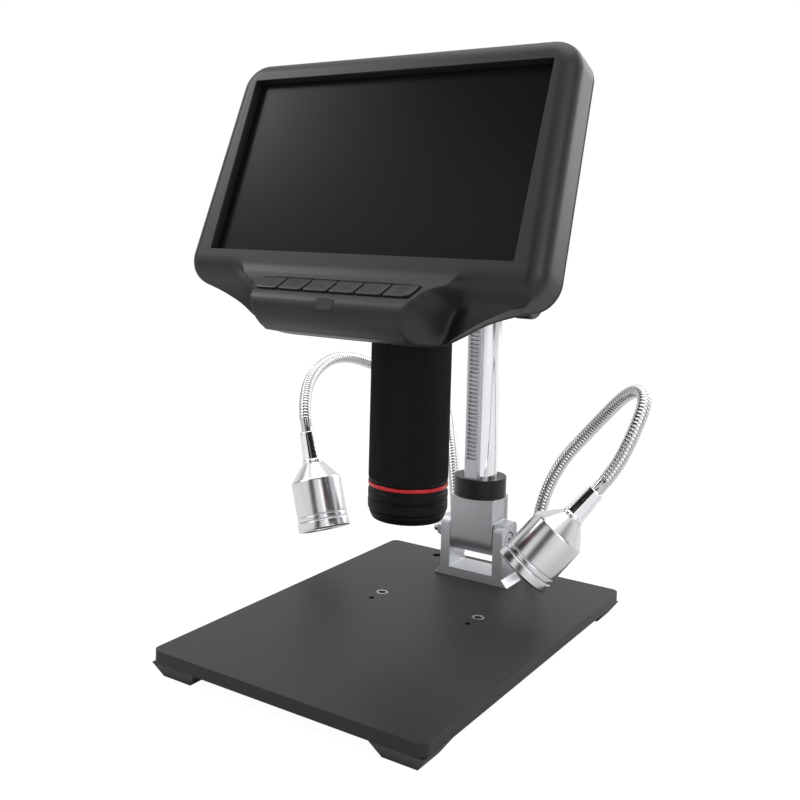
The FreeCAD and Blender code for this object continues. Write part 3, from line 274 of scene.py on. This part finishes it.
# Rings (rows, columns, 3), each end closed by a fan to its ring's middle.
def closedLoft(loops):
    rows, columns = loops.shape[:2]
    points = np.concatenate([loops.reshape(-1, 3), loops[0].mean(0)[None], loops[-1].mean(0)[None]])
    c = np.arange(columns)
    first, last = rows * columns, rows * columns + 1
    foot = np.stack([np.full(columns, first), (c + 1) % columns, c], -1)
    head = np.stack([np.full(columns, last), (rows - 1) * columns + c,
                     (rows - 1) * columns + (c + 1) % columns], -1)
    return points, gridFaces(rows, columns).tolist() + foot.tolist() + head.tolist()


# One point array and face list out of several (points, faces) pairs.
def joined(parts):
    points, faces, count = [], [], 0
    for spots, quads in parts:
        points.append(spots)
        faces += [[k + count for k in quad] for quad in quads]
        count += len(spots)
    return np.concatenate(points), faces


# Two unit vectors square to the direction, by cross products, and the direction itself
def axesFor(direction):
    direction = np.array(direction, float) / np.linalg.norm(direction)
    side = np.cross(direction, (0, 0, 1) if abs(direction[2]) < 0.9 else (1, 0, 0))
    side /= np.linalg.norm(side)
    return side, np.cross(direction, side), direction


# Each inner corner of an open (radius, along) line becomes an arc-like curve of that size.
def rounded(profile, size, steps=4):
    profile = np.array(profile, float)
    out = [profile[:1]]
    t = np.linspace(0, 1, steps + 1)[:, None]
    for before, here, after in zip(profile, profile[1:], profile[2:]):
        back, on = before - here, after - here
        trim = min(size, 0.45 * np.linalg.norm(back), 0.45 * np.linalg.norm(on))
        a = here + back / np.linalg.norm(back) * trim
        b = here + on / np.linalg.norm(on) * trim
        out.append((1 - t) ** 2 * a + 2 * t * (1 - t) * here + t ** 2 * b)
    return np.concatenate(out + [profile[-1:]])


# Point = base + direction * along + radius * (cos a, sin a); ribs cut (1 + cos(ribs a)) / 2 deep.
def lathe(profile, base, direction, size=0.3, sides=96, ribs=0, ribDepth=0.0, ribFrom=0, ribTo=0):
    line = rounded(profile, size)
    side, up, way = axesFor(direction)
    angle = np.linspace(0, 2 * np.pi, sides, endpoint=False)
    radius = np.repeat(line[:, :1], sides, 1)
    if ribs:
        inside = ((line[:, 1] >= ribFrom) & (line[:, 1] <= ribTo))[:, None]
        radius = radius - ribDepth * (1 + np.cos(ribs * angle))[None] / 2 * inside
    around = np.cos(angle)[:, None] * side + np.sin(angle)[:, None] * up
    loops = np.array(base) + line[:, 1][:, None, None] * way + radius[:, :, None] * around[None]
    return closedLoft(loops * mm)


# A copy of a CAD node with its flat faces merged and its edges rounded.
def softened(node, skin, width, segments=2, limit=32):
    mesh = nodes[node].data.copy()
    made = bmesh.new()
    made.from_mesh(mesh)
    bmesh.ops.remove_doubles(made, verts=made.verts, dist=2e-6)
    bmesh.ops.dissolve_limit(made, angle_limit=math.radians(0.4), verts=made.verts, edges=made.edges)
    made.to_mesh(mesh)
    made.free()
    mesh.materials.clear()
    mesh.materials.append(finishes[skin])
    mesh.polygons.foreach_set("use_smooth", np.ones(len(mesh.polygons), bool))
    mesh.set_sharp_from_angle(angle=math.radians(limit))
    piece = bpy.data.objects.new(node + "_soft", mesh)
    bpy.context.scene.collection.objects.link(piece)
    edge = piece.modifiers.new("edges", "BEVEL")
    edge.width, edge.segments = width * mm, segments
    edge.limit_method, edge.angle_limit = "ANGLE", math.radians(limit)
    edge.harden_normals = True
    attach(piece, bodyOf[node])
    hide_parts(node)
    return piece


# Housing, in the screen's frame: u across, v up the screen, n out of the front face
housing = {
    "place": (0, -42.2, 231), "lean": 21.3, "halfTop": 88.5, "halfLow": 91.5, "up": 55, "down": 60,
    "corner": 13.5, "edge": 8, "seam": -18.5, "back": -22, "viewHalf": 78.4, "viewUp": 44.2,
    "viewCorner": 0.8, "recess": -4.4, "faceRows": 76, "rowPower": 1.25, "bottomColumns": 260,
    "cornerColumns": 16, "sideColumns": 40, "topColumns": 60, "troughDeep": 0.8,
    # Middle section of the nose, section of the skirt beside it, and half-width of the nose, by v
    "noseV": (-30, -51, -54, -55.5, -58, -66, -68.5, -71, -74, -76.2, -78, -79.2, -79.6),
    "noseN": (0, 0, 0.5, 1.1, 2.2, 7.5, 8.3, 8.2, 6.6, 4.4, 1.2, -3, -6.4),
    "skirtV": (-30, -49, -52, -55, -57, -60, -64, -68, -73, -80),
    "skirtN": (0, 0, -0.6, -2.8, -5.6, -9.6, -12.4, -13.9, -15, -16),
    "edgeV": (-50, -55.5, -58, -60, -65, -70, -76, -80),
    "edgeU": (57, 54, 48, 44.5, 41.5, 40, 38.5, 38), "scoop": 8, "valley": 3.4,
    # Lower outline of the skirt and nose: how low it reaches at each half-width
    "outlineU": (0, 34, 40, 46.4, 53.9, 63.8, 71, 78.5),
    "outlineV": (-79.6, -79.5, -79.2, -77.7, -73.2, -66.8, -63.2, -60.2),
    # The lower wall rises by "tuck" towards the back: from which n and v, and over how far
    "tuck": 2.4, "tuckN": -6, "tuckNRun": 12, "tuckV": -56, "tuckVRun": 14,
    # Valley beside the nose; where the rim's rounding stops at the skirt
    "valleyShare": 0.8, "valleyWide": 5, "valleyV": -57, "valleyRun": 6,
    "rimFreeU": 70, "rimFreeRun": 10, "rimFreeV": -45, "rimFreeLift": 30,
    "spacingEven": 0.72, "outlineBlur": 2.5, "seamGap": 0.1, "lipStart": 1.2, "rearRound": 2.3,
    "rearInset": 3.5, "coverInset": 20, "rearCoverInset": 30,
}


# (u, v, n) millimetres to the part's frame, leaning back about the across axis.
def screenToPart(points):
    lean = math.radians(housing["lean"])
    u, v, n = np.moveaxis(np.asarray(points, float), -1, 0)
    x0, y0, z0 = housing["place"]
    return np.stack([u + x0, -n * math.cos(lean) + v * math.sin(lean) + y0,
                     n * math.sin(lean) + v * math.cos(lean) + z0], -1)


# Straight interpolation, softened by averaging over a short window.
def smoothLine(x, knotX, knotY, blur):
    order = np.argsort(knotX)
    kx, ky = np.array(knotX, float)[order], np.array(knotY, float)[order]
    shifts = np.linspace(-blur, blur, 9)
    return np.mean([np.interp(x + shift, kx, ky) for shift in shifts], 0)


# Smooth step: 3 x^2 - 2 x^3, held at 0 and 1 outside
def step01(x):
    x = np.clip(x, 0, 1)
    return x * x * (3 - 2 * x)


# Closed outline: bottom from left to right, then right side, top and left side.
def housingLoop(half, low, up, down, corner, bottomU, bottomV):
    h = housing
    quarter = np.linspace(0, np.pi / 2, h["cornerColumns"], endpoint=False)
    top = np.linspace(0, 1, h["topColumns"], endpoint=False)
    side = np.linspace(0, 1, h["sideColumns"], endpoint=False)
    a, b = low - corner, half - corner
    parts = [
        np.stack([bottomU, bottomV], -1),
        np.stack([a + corner * np.sin(quarter), -down + corner - corner * np.cos(quarter)], -1),
        np.stack([low + (half - low) * side, (-down + corner) + (up + down - 2 * corner) * side], -1),
        np.stack([b + corner * np.cos(quarter), up - corner + corner * np.sin(quarter)], -1),
        np.stack([b - 2 * b * top, np.full(len(top), up)], -1),
        np.stack([-b - corner * np.sin(quarter), up - corner + corner * np.cos(quarter)], -1),
        np.stack([-half + (half - low) * side, (up - corner) - (up + down - 2 * corner) * side], -1),
        np.stack([-a - corner * np.cos(quarter), -down + corner - corner * np.sin(quarter)], -1),
    ]
    return np.concatenate(parts)


# Shares from -1 to 1, closer together in the middle where the keys are.
def bottomSpacing():
    t = np.linspace(-1, 1, housing["bottomColumns"], endpoint=False)
    even = housing["spacingEven"]
    return even * t + (1 - even) * t ** 3


# The housing's outline seen along n
def outerLoop():
    h = housing
    u = bottomSpacing() * (h["halfLow"] - h["corner"])
    v = smoothLine(np.abs(u), h["outlineU"], h["outlineV"], h["outlineBlur"])
    return housingLoop(h["halfTop"], h["halfLow"], h["up"], h["down"], h["corner"], u, v)


# The screen opening's outline, with as many points as the outer one
def openingLoop():
    h = housing
    u = bottomSpacing() * (h["viewHalf"] - h["viewCorner"])
    return housingLoop(h["viewHalf"], h["viewHalf"], h["viewUp"], h["viewUp"], h["viewCorner"], u,
                       np.full(len(u), -h["viewUp"]))


# The shelf's keys: sizes, middle, and the shelf's down and outward directions in (v, n)
keyRow = {"pitch": 13.5, "wide": 12.5, "long": 7.4, "slant": 2.4, "vMiddle": -60.6, "nMiddle": 3.75,
          "down": (-0.838, 0.546), "out": (0.546, 0.838), "proud": 0.75, "sink": 1.0, "gap": 0.45,
          "wallRun": 0.3, "symbol": 1.2, "stroke": 0.5, "strokeTall": 0.06, "power": 0.2,
          "endPower": 0.62}


# n of the front face: the nose over the skirt, less the rounded rim, less the key trough.
def frontHeight(u, v, gap):
    h, k = housing, keyRow
    nose = smoothLine(v, h["noseV"], h["noseN"], 0.8)
    skirt = smoothLine(v, h["skirtV"], h["skirtN"], 1.5)
    reach = smoothLine(v, h["edgeV"], h["edgeU"], 1.0)
    past = np.abs(u) - reach
    share = np.clip((past + 0.6) / h["scoop"], 0, 1)
    across = (past - h["scoop"] * h["valleyShare"]) / h["valleyWide"]
    fade = step01((h["valleyV"] - v) / h["valleyRun"])
    valley = h["valley"] * np.exp(-across ** 2) * fade * (past > -1)
    face = skirt + (nose - skirt) * (1 - np.sin(share * np.pi / 2) ** 0.8) - valley
    rim = h["edge"] - np.clip(gap, 0, h["edge"])
    rimDrop = np.sqrt(np.maximum(h["edge"] ** 2 - rim ** 2, 0)) - h["edge"]
    free = step01((h["rimFreeU"] - np.abs(u)) / h["rimFreeRun"]) * (v < h["rimFreeV"])
    height = np.minimum(face, rimDrop + h["rimFreeLift"] * free)
    along = (v - k["vMiddle"]) / k["down"][0]
    lean = u + along * k["slant"] / k["long"]
    half = 2.5 * k["pitch"] + k["wide"] / 2 + k["gap"]
    inside = np.minimum(half - np.abs(lean), k["long"] / 2 + k["gap"] - np.abs(along))
    return height - h["troughDeep"] * np.clip(inside / k["wallRun"] + 0.5, 0, 1)


# Rise = tuck * share of the way back * smooth share of the way down
def tuckRise(v, n):
    h = housing
    deep = np.clip((h["tuckN"] - n) / h["tuckNRun"], 0, 1)
    return h["tuck"] * deep * step01((h["tuckV"] - v) / h["tuckVRun"])


# Front and rear shells as lofts of outline rings; the rear one carries the hump
def makeHousing():
    h = housing
    outer, opening = outerLoop(), openingLoop()
    share = np.linspace(0, 1, h["faceRows"]) ** h["rowPower"]
    flat = outer[None] * (1 - share)[:, None, None] + opening[None] * share[:, None, None]
    gap = share[:, None] * np.linalg.norm(outer - opening, axis=-1)[None]
    n = frontHeight(flat[..., 0], flat[..., 1], gap)
    rise = tuckRise(flat[..., 1], n)
    face = np.concatenate([flat + np.stack([0 * rise, rise], -1), n[..., None]], -1)

    def level(loop, depth, inset=0.0):
        lift = tuckRise(loop[:, 1], np.ravel(depth))
        raised = loop + np.stack([0 * lift, lift], -1)
        drawn = raised * (1 - inset / np.linalg.norm(loop, axis=-1, keepdims=True))
        return np.concatenate([drawn, np.zeros((len(loop), 1)) + depth], -1)

    side = []
    for s in (1.0, 0.75, 0.5, 0.25):
        depth = face[0, :, 2] * (1 - s) + h["seam"] * s
        side.append(np.concatenate([level(outer, depth[:, None])[:, :2], depth[:, None]], -1))
    backs = [level(outer, h["seam"], h["coverInset"]), level(outer, h["seam"], 0.5)]
    inner = [level(opening, -0.2, 0.15), level(opening, h["recess"] * 0.5, 0.3),
             level(opening, h["recess"] - 0.05, 0.4),
             level(opening, h["recess"] - 0.15, h["coverInset"])]
    loops = np.concatenate([np.array(backs), np.array(side), face, np.array(inner)])
    addMesh("housingFront", *closedLoft(screenToPart(loops) * mm), "housing", "head", "black_plastic",
            ("front_bezel",), sharp=50)

    # The rear shell starts inside the seam's groove, then rounds towards the back
    start, lip = h["seam"] - h["seamGap"], h["seam"] - h["lipStart"]
    rear = [level(outer, start, h["coverInset"]), level(outer, start, 0.9),
            level(outer, h["seam"] - 0.5, 0.9), level(outer, h["seam"] - 0.6, 0.3),
            level(outer, lip, 0.0)]
    turn = np.linspace(0, np.pi / 2, 7)[1:]
    rear += [level(outer, lip - h["rearRound"] * math.sin(t), h["rearInset"] * (1 - math.cos(t)))
             for t in turn]
    rear.append(level(outer, h["back"], h["rearCoverInset"]))
    shell = closedLoft(screenToPart(np.array(rear)) * mm)
    addMesh("housingRear", *joined([shell, makeHump()]), "housing", "head", "black_plastic",
            ("rear_cover",), sharp=40)


humpShape = {"section": ((-50, 158), (36.5, 158), (36.5, 205), (-13.5, 240), (-19, 240)), "round": 7,
             "half": 29.7, "endRound": 6}


# The rear body round the barrel: its side section drawn in towards both ends.
def makeHump():
    s = humpShape
    corners = np.array(s["section"], float)
    around = np.concatenate([corners[-1:], corners, corners[:1]])
    line = rounded(around, s["round"], 6)[1:-1]
    middle = corners.mean(0)
    turn = np.linspace(0, np.pi / 2, 7)
    ends = [(-s["half"] + s["endRound"] * (1 - math.sin(t)), s["endRound"] * (1 - math.cos(t)))
            for t in turn[::-1]]
    rows = ends + [(-x, inset) for x, inset in reversed(ends)]
    reach = np.linalg.norm(line - middle, axis=-1, keepdims=True)
    loops = [np.concatenate([np.full((len(line), 1), x),
                             middle + (line - middle) * (1 - inset / reach)], -1)
             for x, inset in rows]
    return closedLoft(np.array(loops) * mm)


makeHousing()
print("housing ready")


# Keys and their generic symbols
# (u, v, n) of a point on the sloping shelf = middle + down * way down + high * way out
def shelfPoint(across, down, high):
    k = keyRow
    v = k["vMiddle"] + down * k["down"][0] + high * k["out"][0]
    n = k["nMiddle"] + down * k["down"][1] + high * k["out"][1]
    return np.stack([across + 0 * v, v, n], -1)


# A leaning rounded key: its outline drawn in at the top by a quarter circle.
def keyShape(index):
    k = keyRow
    turn = np.linspace(0, 2 * np.pi, 96, endpoint=False)
    outerCorner = ((index == 0) & (np.cos(turn) < 0)) | ((index == 5) & (np.cos(turn) > 0))
    power = np.where(outerCorner & (np.sin(turn) > 0), k["endPower"], k["power"])
    x = np.sign(np.cos(turn)) * np.abs(np.cos(turn)) ** power
    y = np.sign(np.sin(turn)) * np.abs(np.sin(turn)) ** power
    loops = []
    for high, inset in ((-k["sink"], 0), (k["proud"] - 0.3, 0), (k["proud"] - 0.1, 0.1),
                        (k["proud"], 0.3), (k["proud"] + 0.03, 1.0)):
        down = y * (k["long"] / 2 - inset)
        middle = (index - 2.5) * k["pitch"]
        across = middle + x * (k["wide"] / 2 - inset) - down * k["slant"] / k["long"]
        loops.append(shelfPoint(across, down, high))
    return closedLoft(screenToPart(np.array(loops)) * mm)


# A flat ribbon along a line of (across, down) points, with square ends.
def stroke(line, width, high):
    line = np.array(line, float)
    way = np.gradient(line, axis=0)
    way /= np.linalg.norm(way, axis=-1, keepdims=True)
    normal = np.stack([-way[:, 1], way[:, 0]], -1) * width / 2
    top = high + keyRow["strokeTall"]
    return np.stack([np.stack([*(line + sign * normal).T, np.full(len(line), level)], -1)
                     for sign, level in ((1, high), (1, top), (-1, top), (-1, high))], 1)


# Points at radius * (cos a, sin a), from start to stop degrees
def arcLine(radius, start, stop, steps=20):
    turn = np.radians(np.linspace(start, stop, steps))
    return np.stack([radius * np.cos(turn), radius * np.sin(turn)], -1)


# Evenly spaced points between a and b
def segment(a, b, steps=5):
    t = np.linspace(0, 1, steps)[:, None]
    return np.array(a) * (1 - t) + np.array(b) * t


symbols = {
    "power": [arcLine(1.35, -55, 235, 28), segment((0, -1.9), (0, -0.3))],
    "menu": [segment((-1.6, level), (1.6, level)) for level in (-1.1, 0, 1.1)],
    "up": [segment((-1.4, 0.9), (0, -1.1)), segment((0, -1.1), (1.4, 0.9))],
    "down": [segment((-1.4, -0.9), (0, 1.1)), segment((0, 1.1), (1.4, -0.9))],
    "confirm": [segment((-1.6, 0.1), (-0.5, 1.2)), segment((-0.5, 1.2), (1.7, -1.2))],
    "capture": [segment((-1.9, -1.3), (1.9, -1.3)), segment((1.9, -1.3), (1.9, 1.4)),
                segment((1.9, 1.4), (-1.9, 1.4)), segment((-1.9, 1.4), (-1.9, -1.3)),
                arcLine(0.75, 0, 360, 20), segment((-0.6, -1.8), (0.6, -1.8))],
}


# One key for each symbol, with its strokes lying on the key's top
def makeKeys():
    for index, (name, lines) in enumerate(symbols.items()):
        addMesh("key_" + name, *keyShape(index), "keys", "key_" + name, "key_plastic",
                ("button_" + name,))
        marks = []
        for line in lines:
            ribbon = stroke(line * keyRow["symbol"], keyRow["stroke"], keyRow["proud"] + 0.02)
            middle = (index - 2.5) * keyRow["pitch"]
            across = ribbon[..., 0] + middle - ribbon[..., 1] * keyRow["slant"] / keyRow["long"]
            spots = shelfPoint(across, ribbon[..., 1], ribbon[..., 2])
            marks.append(closedLoft(screenToPart(spots) * mm))
        addMesh("mark_" + name, *joined(marks), "symbols", "key_" + name, "key_plastic")


indicator = {"half": 4.7, "tall": 2.7, "u": 0.6, "v": -69.7, "n": 8.1, "tilt": 2, "power": 0.35}


# A rounded pad on the nose, ringed by a flat black band of painted shade that stands for its groove:
# superellipse rings on a slightly leaning plane.
def makeIndicator():
    d = indicator
    turn = np.linspace(0, 2 * np.pi, 64, endpoint=False)
    x = np.sign(np.cos(turn)) * np.abs(np.cos(turn)) ** d["power"]
    y = np.sign(np.sin(turn)) * np.abs(np.sin(turn)) ** d["power"]
    tilt = math.radians(d["tilt"])

    def rings(steps):
        loops = []
        for high, inset in steps:
            up = y * (d["tall"] - inset)
            v = d["v"] + up * math.cos(tilt) - high * math.sin(tilt)
            n = d["n"] + up * math.sin(tilt) + high * math.cos(tilt)
            loops.append(np.stack([d["u"] + x * (d["half"] - inset), v, n], -1))
        return closedLoft(screenToPart(np.array(loops)) * mm)

    addMesh("indicator", *rings(((-2, 0.5), (0.2, 0.5), (0.32, 0.65), (0.3, 1.2))), "keys", "head",
            "window_plastic", ("indicator_window",))
    # The ring under the pad is painted groove shade: a flat black band where the groove's shade would
    # fall
    addMesh("indicatorShadeRing", *rings(((-2, 0), (0.1, 0), (0.18, 0.1), (0.18, 1.5))), "ink", "head",
            "window_plastic")


makeKeys()
makeIndicator()
print("keys ready")


# Camera barrel: profiles are (radius, height) about the upright axis
barrel = {"axis": (0, -1.5, 0), "radius": 19.2, "low": 62.7, "noseTop": 78.3, "ringLow": 78.5,
          "sleeveLow": 80.3, "top": 180, "inner": 15.2, "ribs": 90, "ribDepth": 0.35}


# Sleeve, ring and nose as turned profiles of (radius, height); small steps are broken edges
def makeBarrel():
    b = barrel
    r = b["radius"]
    sleeve = [(b["inner"], b["sleeveLow"]), (r - 0.5, b["sleeveLow"]),
              (r - 0.2, b["sleeveLow"] + 0.6), (r - 0.2, b["sleeveLow"] + 1.6),
              (r, b["sleeveLow"] + 2.2), (r, b["top"] - 1), (b["inner"], b["top"] - 1)]
    turned = lathe(sleeve, b["axis"], (0, 0, 1), 0.2, sides=b["ribs"] * 8, ribs=b["ribs"],
                   ribDepth=b["ribDepth"], ribFrom=b["sleeveLow"] + 2, ribTo=b["top"])
    addMesh("barrelSleeve", *turned, "barrel", "head", "black_metal", ("barrel_sleeve",))
    ring = [(b["inner"], b["ringLow"]), (r, b["ringLow"]), (r + 0.1, b["ringLow"] + 1.5),
            (r, b["sleeveLow"]), (b["inner"], b["sleeveLow"])]
    addMesh("barrelRing", *lathe(ring, b["axis"], (0, 0, 1), 0.3), "red", "head", "red_anodised",
            ("red_ring",))
    nose = [(15.4, b["noseTop"]), (15.4, b["low"] + 2.6), (12.4, b["low"] + 2.2),
            (12.4, b["low"] + 1), (13.5, b["low"]), (r - 2.2, b["low"]), (r - 1.6, b["low"] + 1),
            (r - 0.6, b["low"] + 3.4), (r - 1.0, b["low"] + 3.9), (r - 0.2, b["low"] + 4.6),
            (r, b["low"] + 5.2), (r, b["low"] + 9.2), (r - 0.7, b["low"] + 9.5),
            (r - 0.7, b["low"] + 10.3), (r, b["low"] + 10.6), (r, b["noseTop"] - 2),
            (r - 0.5, b["noseTop"] - 1.6), (r - 0.5, b["noseTop"]), (15.4, b["noseTop"])]
    points, faces = lathe(nose, b["axis"], (0, 0, 1), 0.25)
    # The profile closes on itself, so the fans over its ends go
    faces = [face for face in faces if max(face) < len(points) - 2]
    addMesh("noseRing", points, faces, "barrel", "nose", "black_metal", ("focus_ring",))


makeBarrel()
print("barrel ready")


# Post, cap and knobs
post = {"axis": (0, 75, 0), "radius": 9, "low": 41.7, "top": 237, "cap": 3}


# A plain turned tube and its rounded cap
def makePost():
    p = post
    top = p["top"] + p["cap"]
    tube = lathe([(p["radius"], p["low"]), (p["radius"], p["top"])], p["axis"], (0, 0, 1), sides=128)
    cap = lathe([(p["radius"], p["top"]), (p["radius"], top), (0.5, top)], p["axis"], (0, 0, 1), 1.0)
    addMesh("postTube", *tube, "chrome", "post", "polished_steel", ("post_tube",))
    addMesh("postCap", *cap, "collar", "post", "black_plastic", ("post_cap",))


# Knobs turn about the pinion's axis: profile of (radius, distance from the middle)
knob = {"y": 58.648, "z": 169.5, "inner": 21.4, "hub": 4, "thick": 11, "radius": 13, "hubRadius": 6.5,
        "grips": 24}


# Each knob is a hub, a gripped rim and a shallow dish in its end
def makeKnobs():
    k = knob
    for side, way in (("left", -1), ("right", 1)):
        s = k["inner"] + k["hub"]
        profile = [(3, k["inner"]), (k["hubRadius"], k["inner"]), (k["hubRadius"], s),
                   (k["radius"] - 1.2, s), (k["radius"], s + 1.2),
                   (k["radius"], s + k["thick"] - 1.2), (k["radius"] - 1.2, s + k["thick"]),
                   (k["radius"] - 3, s + k["thick"]), (k["radius"] - 3.4, s + k["thick"] - 0.5),
                   (0.5, s + k["thick"] - 0.5)]
        turned = lathe(profile, (0, k["y"], k["z"]), (way, 0, 0), 0.4, sides=k["grips"] * 6,
                       ribs=k["grips"], ribDepth=0.7, ribFrom=s + 1, ribTo=s + k["thick"] - 1)
        addMesh("focusKnob_" + side, *turned, "collar", "focus_drive", "black_plastic",
                ("focus_knob_" + side,))


makePost()
makeKnobs()
print("post and knobs ready")


# Gooseneck arms and lamps
arms = {
    "left": ((-24, 95, 16), (-24, 95, 34), (-36, 110.5, 67.5), (-57, 138, 98), (-103, 134, 111),
             (-115, 104.5, 121.5), (-110.5, 68, 114), (-97.2, 42.6, 97.7), (-91.9, 40.4, 84)),
    "right": ((24, 95, 16), (24, 95, 42), (31, 104, 72), (53, 105, 99), (75.5, 93, 122),
              (89, 77, 121.5), (86.5, 66, 104), (78.5, 63, 84.5), (71.4, 58.1, 74.5)),
}
# "plain" is the smooth length at each end of the tube
armShape = {"radius": 3.5, "root": 3.2, "pitch": 1.8, "perRib": 8, "sides": 20, "plain": 7}
lampShape = {"neck": 17.5, "neckRoot": 3.6, "neckEnd": 5.7, "shoulder": 9.5, "shoulderRadius": 6.6,
             "body": 22, "bodyRadius": 14, "ring": 5, "ringRadius": 14.5, "wall": 1.6}


# The smooth line of a quadratic spline that has the route as its control points.
def splineThrough(route):
    curve = bpy.data.curves.new("armLine", "CURVE")
    curve.dimensions = "3D"
    line = curve.splines.new("NURBS")
    line.points.add(len(route) - 1)
    line.points.foreach_set("co", np.array([(*spot, 1) for spot in route], float).ravel())
    line.order_u, line.use_endpoint_u, line.resolution_u = 3, True, 40
    holder = bpy.data.objects.new("armLine", curve)
    mesh = bpy.data.meshes.new_from_object(holder)
    spots = np.zeros(len(mesh.vertices) * 3)
    mesh.vertices.foreach_get("co", spots)
    bpy.data.objects.remove(holder)
    bpy.data.curves.remove(curve)
    bpy.data.meshes.remove(mesh)
    return spots.reshape(-1, 3)


# A circle carried along the line; its radius rises and falls once for each rib.
def ribbedTube(route):
    s = armShape
    line = splineThrough(route)
    step = np.linalg.norm(np.diff(line, axis=0), axis=1)
    far = np.concatenate([[0], np.cumsum(step)])
    ribs = round((far[-1] - 2 * s["plain"]) / s["pitch"])
    pitch = (far[-1] - 2 * s["plain"]) / ribs
    steps = s["plain"] + np.arange(ribs * s["perRib"] + 1) * pitch / s["perRib"]
    at = np.concatenate([[0], steps, [far[-1]]])
    spots = np.stack([np.interp(at, far, line[:, k]) for k in range(3)], -1)
    way = np.gradient(spots, axis=0)
    way /= np.linalg.norm(way, axis=-1, keepdims=True)
    side = np.zeros_like(way)
    side[0] = np.cross(way[0], (0, 1, 0))
    for k in range(1, len(way)):
        side[k] = side[k - 1] - way[k] * side[k - 1].dot(way[k])
        side[k] /= np.linalg.norm(side[k])
    up = np.cross(way, side)
    wave = np.abs(np.sin(np.pi * (at - s["plain"]) / pitch))
    wave[[0, -1]] = 0
    radius = s["root"] + (s["radius"] - s["root"]) * np.sqrt(wave)
    angle = np.linspace(0, 2 * np.pi, s["sides"], endpoint=False)
    around = np.cos(angle)[None, :, None] * side[:, None] + np.sin(angle)[None, :, None] * up[:, None]
    return closedLoft((spots[:, None] + radius[:, None, None] * around) * mm)


# Everything of one arm: ribs, ferrule, head, front ring and dish, turned about the route's last leg
def makeLamp(side):
    s, body = lampShape, "arm_" + side
    route = np.array(arms[side], float)
    base, way = route[-1], route[-1] - route[-2]
    addMesh("gooseneck_" + side + "_ribs", *ribbedTube(arms[side]), "spring", body, "polished_steel",
            ("gooseneck_" + side,), sharp=60)
    neck = s["neck"]
    ferrule = [(s["neckRoot"], -0.5), (s["neckRoot"] + 0.6, -0.3), (s["neckRoot"] + 0.8, 0.4),
               (s["neckEnd"] - 0.2, neck - 2.2), (s["neckEnd"] + 0.4, neck - 1.6),
               (s["neckEnd"] + 0.4, neck - 0.6), (s["neckEnd"], neck - 0.4), (s["neckEnd"], neck)]
    addMesh("ferrule_" + side + "_turned", *lathe(ferrule, base, way, 0.3), "chrome", body,
            "polished_steel", ("ferrule_" + side,))
    top, face = neck + s["shoulder"], neck + s["shoulder"] + s["body"]
    r = s["bodyRadius"]
    shell = [(4, neck), (s["shoulderRadius"] - 0.4, neck), (s["shoulderRadius"], neck + 0.4),
             (r - 0.4, top - 0.5), (r, top + 0.2), (r, face - 3.4), (r - 0.35, face - 3.2),
             (r - 0.35, face - 2.7), (r, face - 2.5), (r, face - 0.5), (r - 0.4, face - 0.2),
             (r - 0.4, face), (r - 3, face)]
    addMesh("lampHead_" + side, *lathe(shell, base, way, 0.5), "lamp", body, "lamp_metal",
            ("lamp_head_" + side,))
    rim, inner = face + s["ring"], r - s["wall"]
    ring = [(inner, face), (s["ringRadius"] - 0.4, face), (s["ringRadius"], face + 0.4),
            (s["ringRadius"], rim - 0.7), (s["ringRadius"] - 0.6, rim), (inner + 0.4, rim),
            (inner, rim - 0.6), (inner - 0.6, face + 0.2)]
    ringPoints, ringFaces = lathe(ring + ring[:1], base, way, 0.2)
    ringFaces = [face for face in ringFaces if max(face) < len(ringPoints) - 2]
    addMesh("lampRing_" + side, ringPoints, ringFaces, "lamp", body, "lamp_metal",
            ("lamp_ring_" + side,))
    nodes["lamp_lens_" + side].data.materials[0] = finishes["glass"]
    nodes["light_board_" + side].data.materials[0] = finishes["diode"]
    dish = [(inner - 0.4, face + 0.4), (inner - 0.4, face + 1.6), (inner - 1.6, face + 1.7),
            (inner - 2.6, face + 0.2), (0.4, face + 0.2)]
    addMesh("lampDish_" + side, *lathe(dish, base, way, 0.2), "reflector", body, "lamp_metal")


for side in arms:
    makeLamp(side)
print("lamps ready")


# Nodes kept as they are or only softened: skin, slot, edge width
softNodes = {
    "base_plate": ("powder", "painted_steel", 0.5),
    "hinge_bracket": ("blasted", "blasted_aluminium", 0.45),
    "hinge_block": ("blasted", "blasted_aluminium", 0.5),
    "post_collar": ("collar", "black_plastic", 0.5),
    "focus_carriage": ("barrel", "black_metal", 1.2), "head_bracket": ("barrel", "black_metal", 0.5),
    "rack_bar": ("blasted", "blasted_aluminium", 0.12), "clip_inserts": ("steel", "screw_steel", 0.15),
    "pivot_bolt": ("steel", "screw_steel", 0.25), "pivot_nut": ("steel", "screw_steel", 0.25),
    "pivot_washer": ("steel", "screw_steel", 0.15), "arm_sockets": ("chrome", "polished_steel", 0.4),
    "arm_nuts": ("steel", "screw_steel", 0.3), "bracket_screws": ("steel", "screw_steel", 0.3),
    "foot_screws": ("steel", "screw_steel", 0.2), "brake_screw": ("collar", "black_metal", 0.5),
}
for corner in ("front_left", "front_right", "back_left", "back_right"):
    softNodes["foot_" + corner] = ("rubber", "foot_rubber", 1.0)
for node, (skin, slotName, width) in softNodes.items():
    softened(node, skin, width)

plainNodes = {
    "collar_set_screw": "steel", "carriage_liner": "brass", "pinion_shaft": "steel",
    "head_screws": "steel", "side_ports": "steel", "lcd_panel": "screen", "main_board": "board",
    "button_board": "board",
    "lens_tube": "barrel", "lens_cell": "barrel", "objective_lens": "glass", "sensor_board": "board",
}
for node, skin in plainNodes.items():
    nodes[node].data.materials.clear()
    nodes[node].data.materials.append(finishes[skin])
print("carried nodes dressed:", len(softNodes) + len(plainNodes))
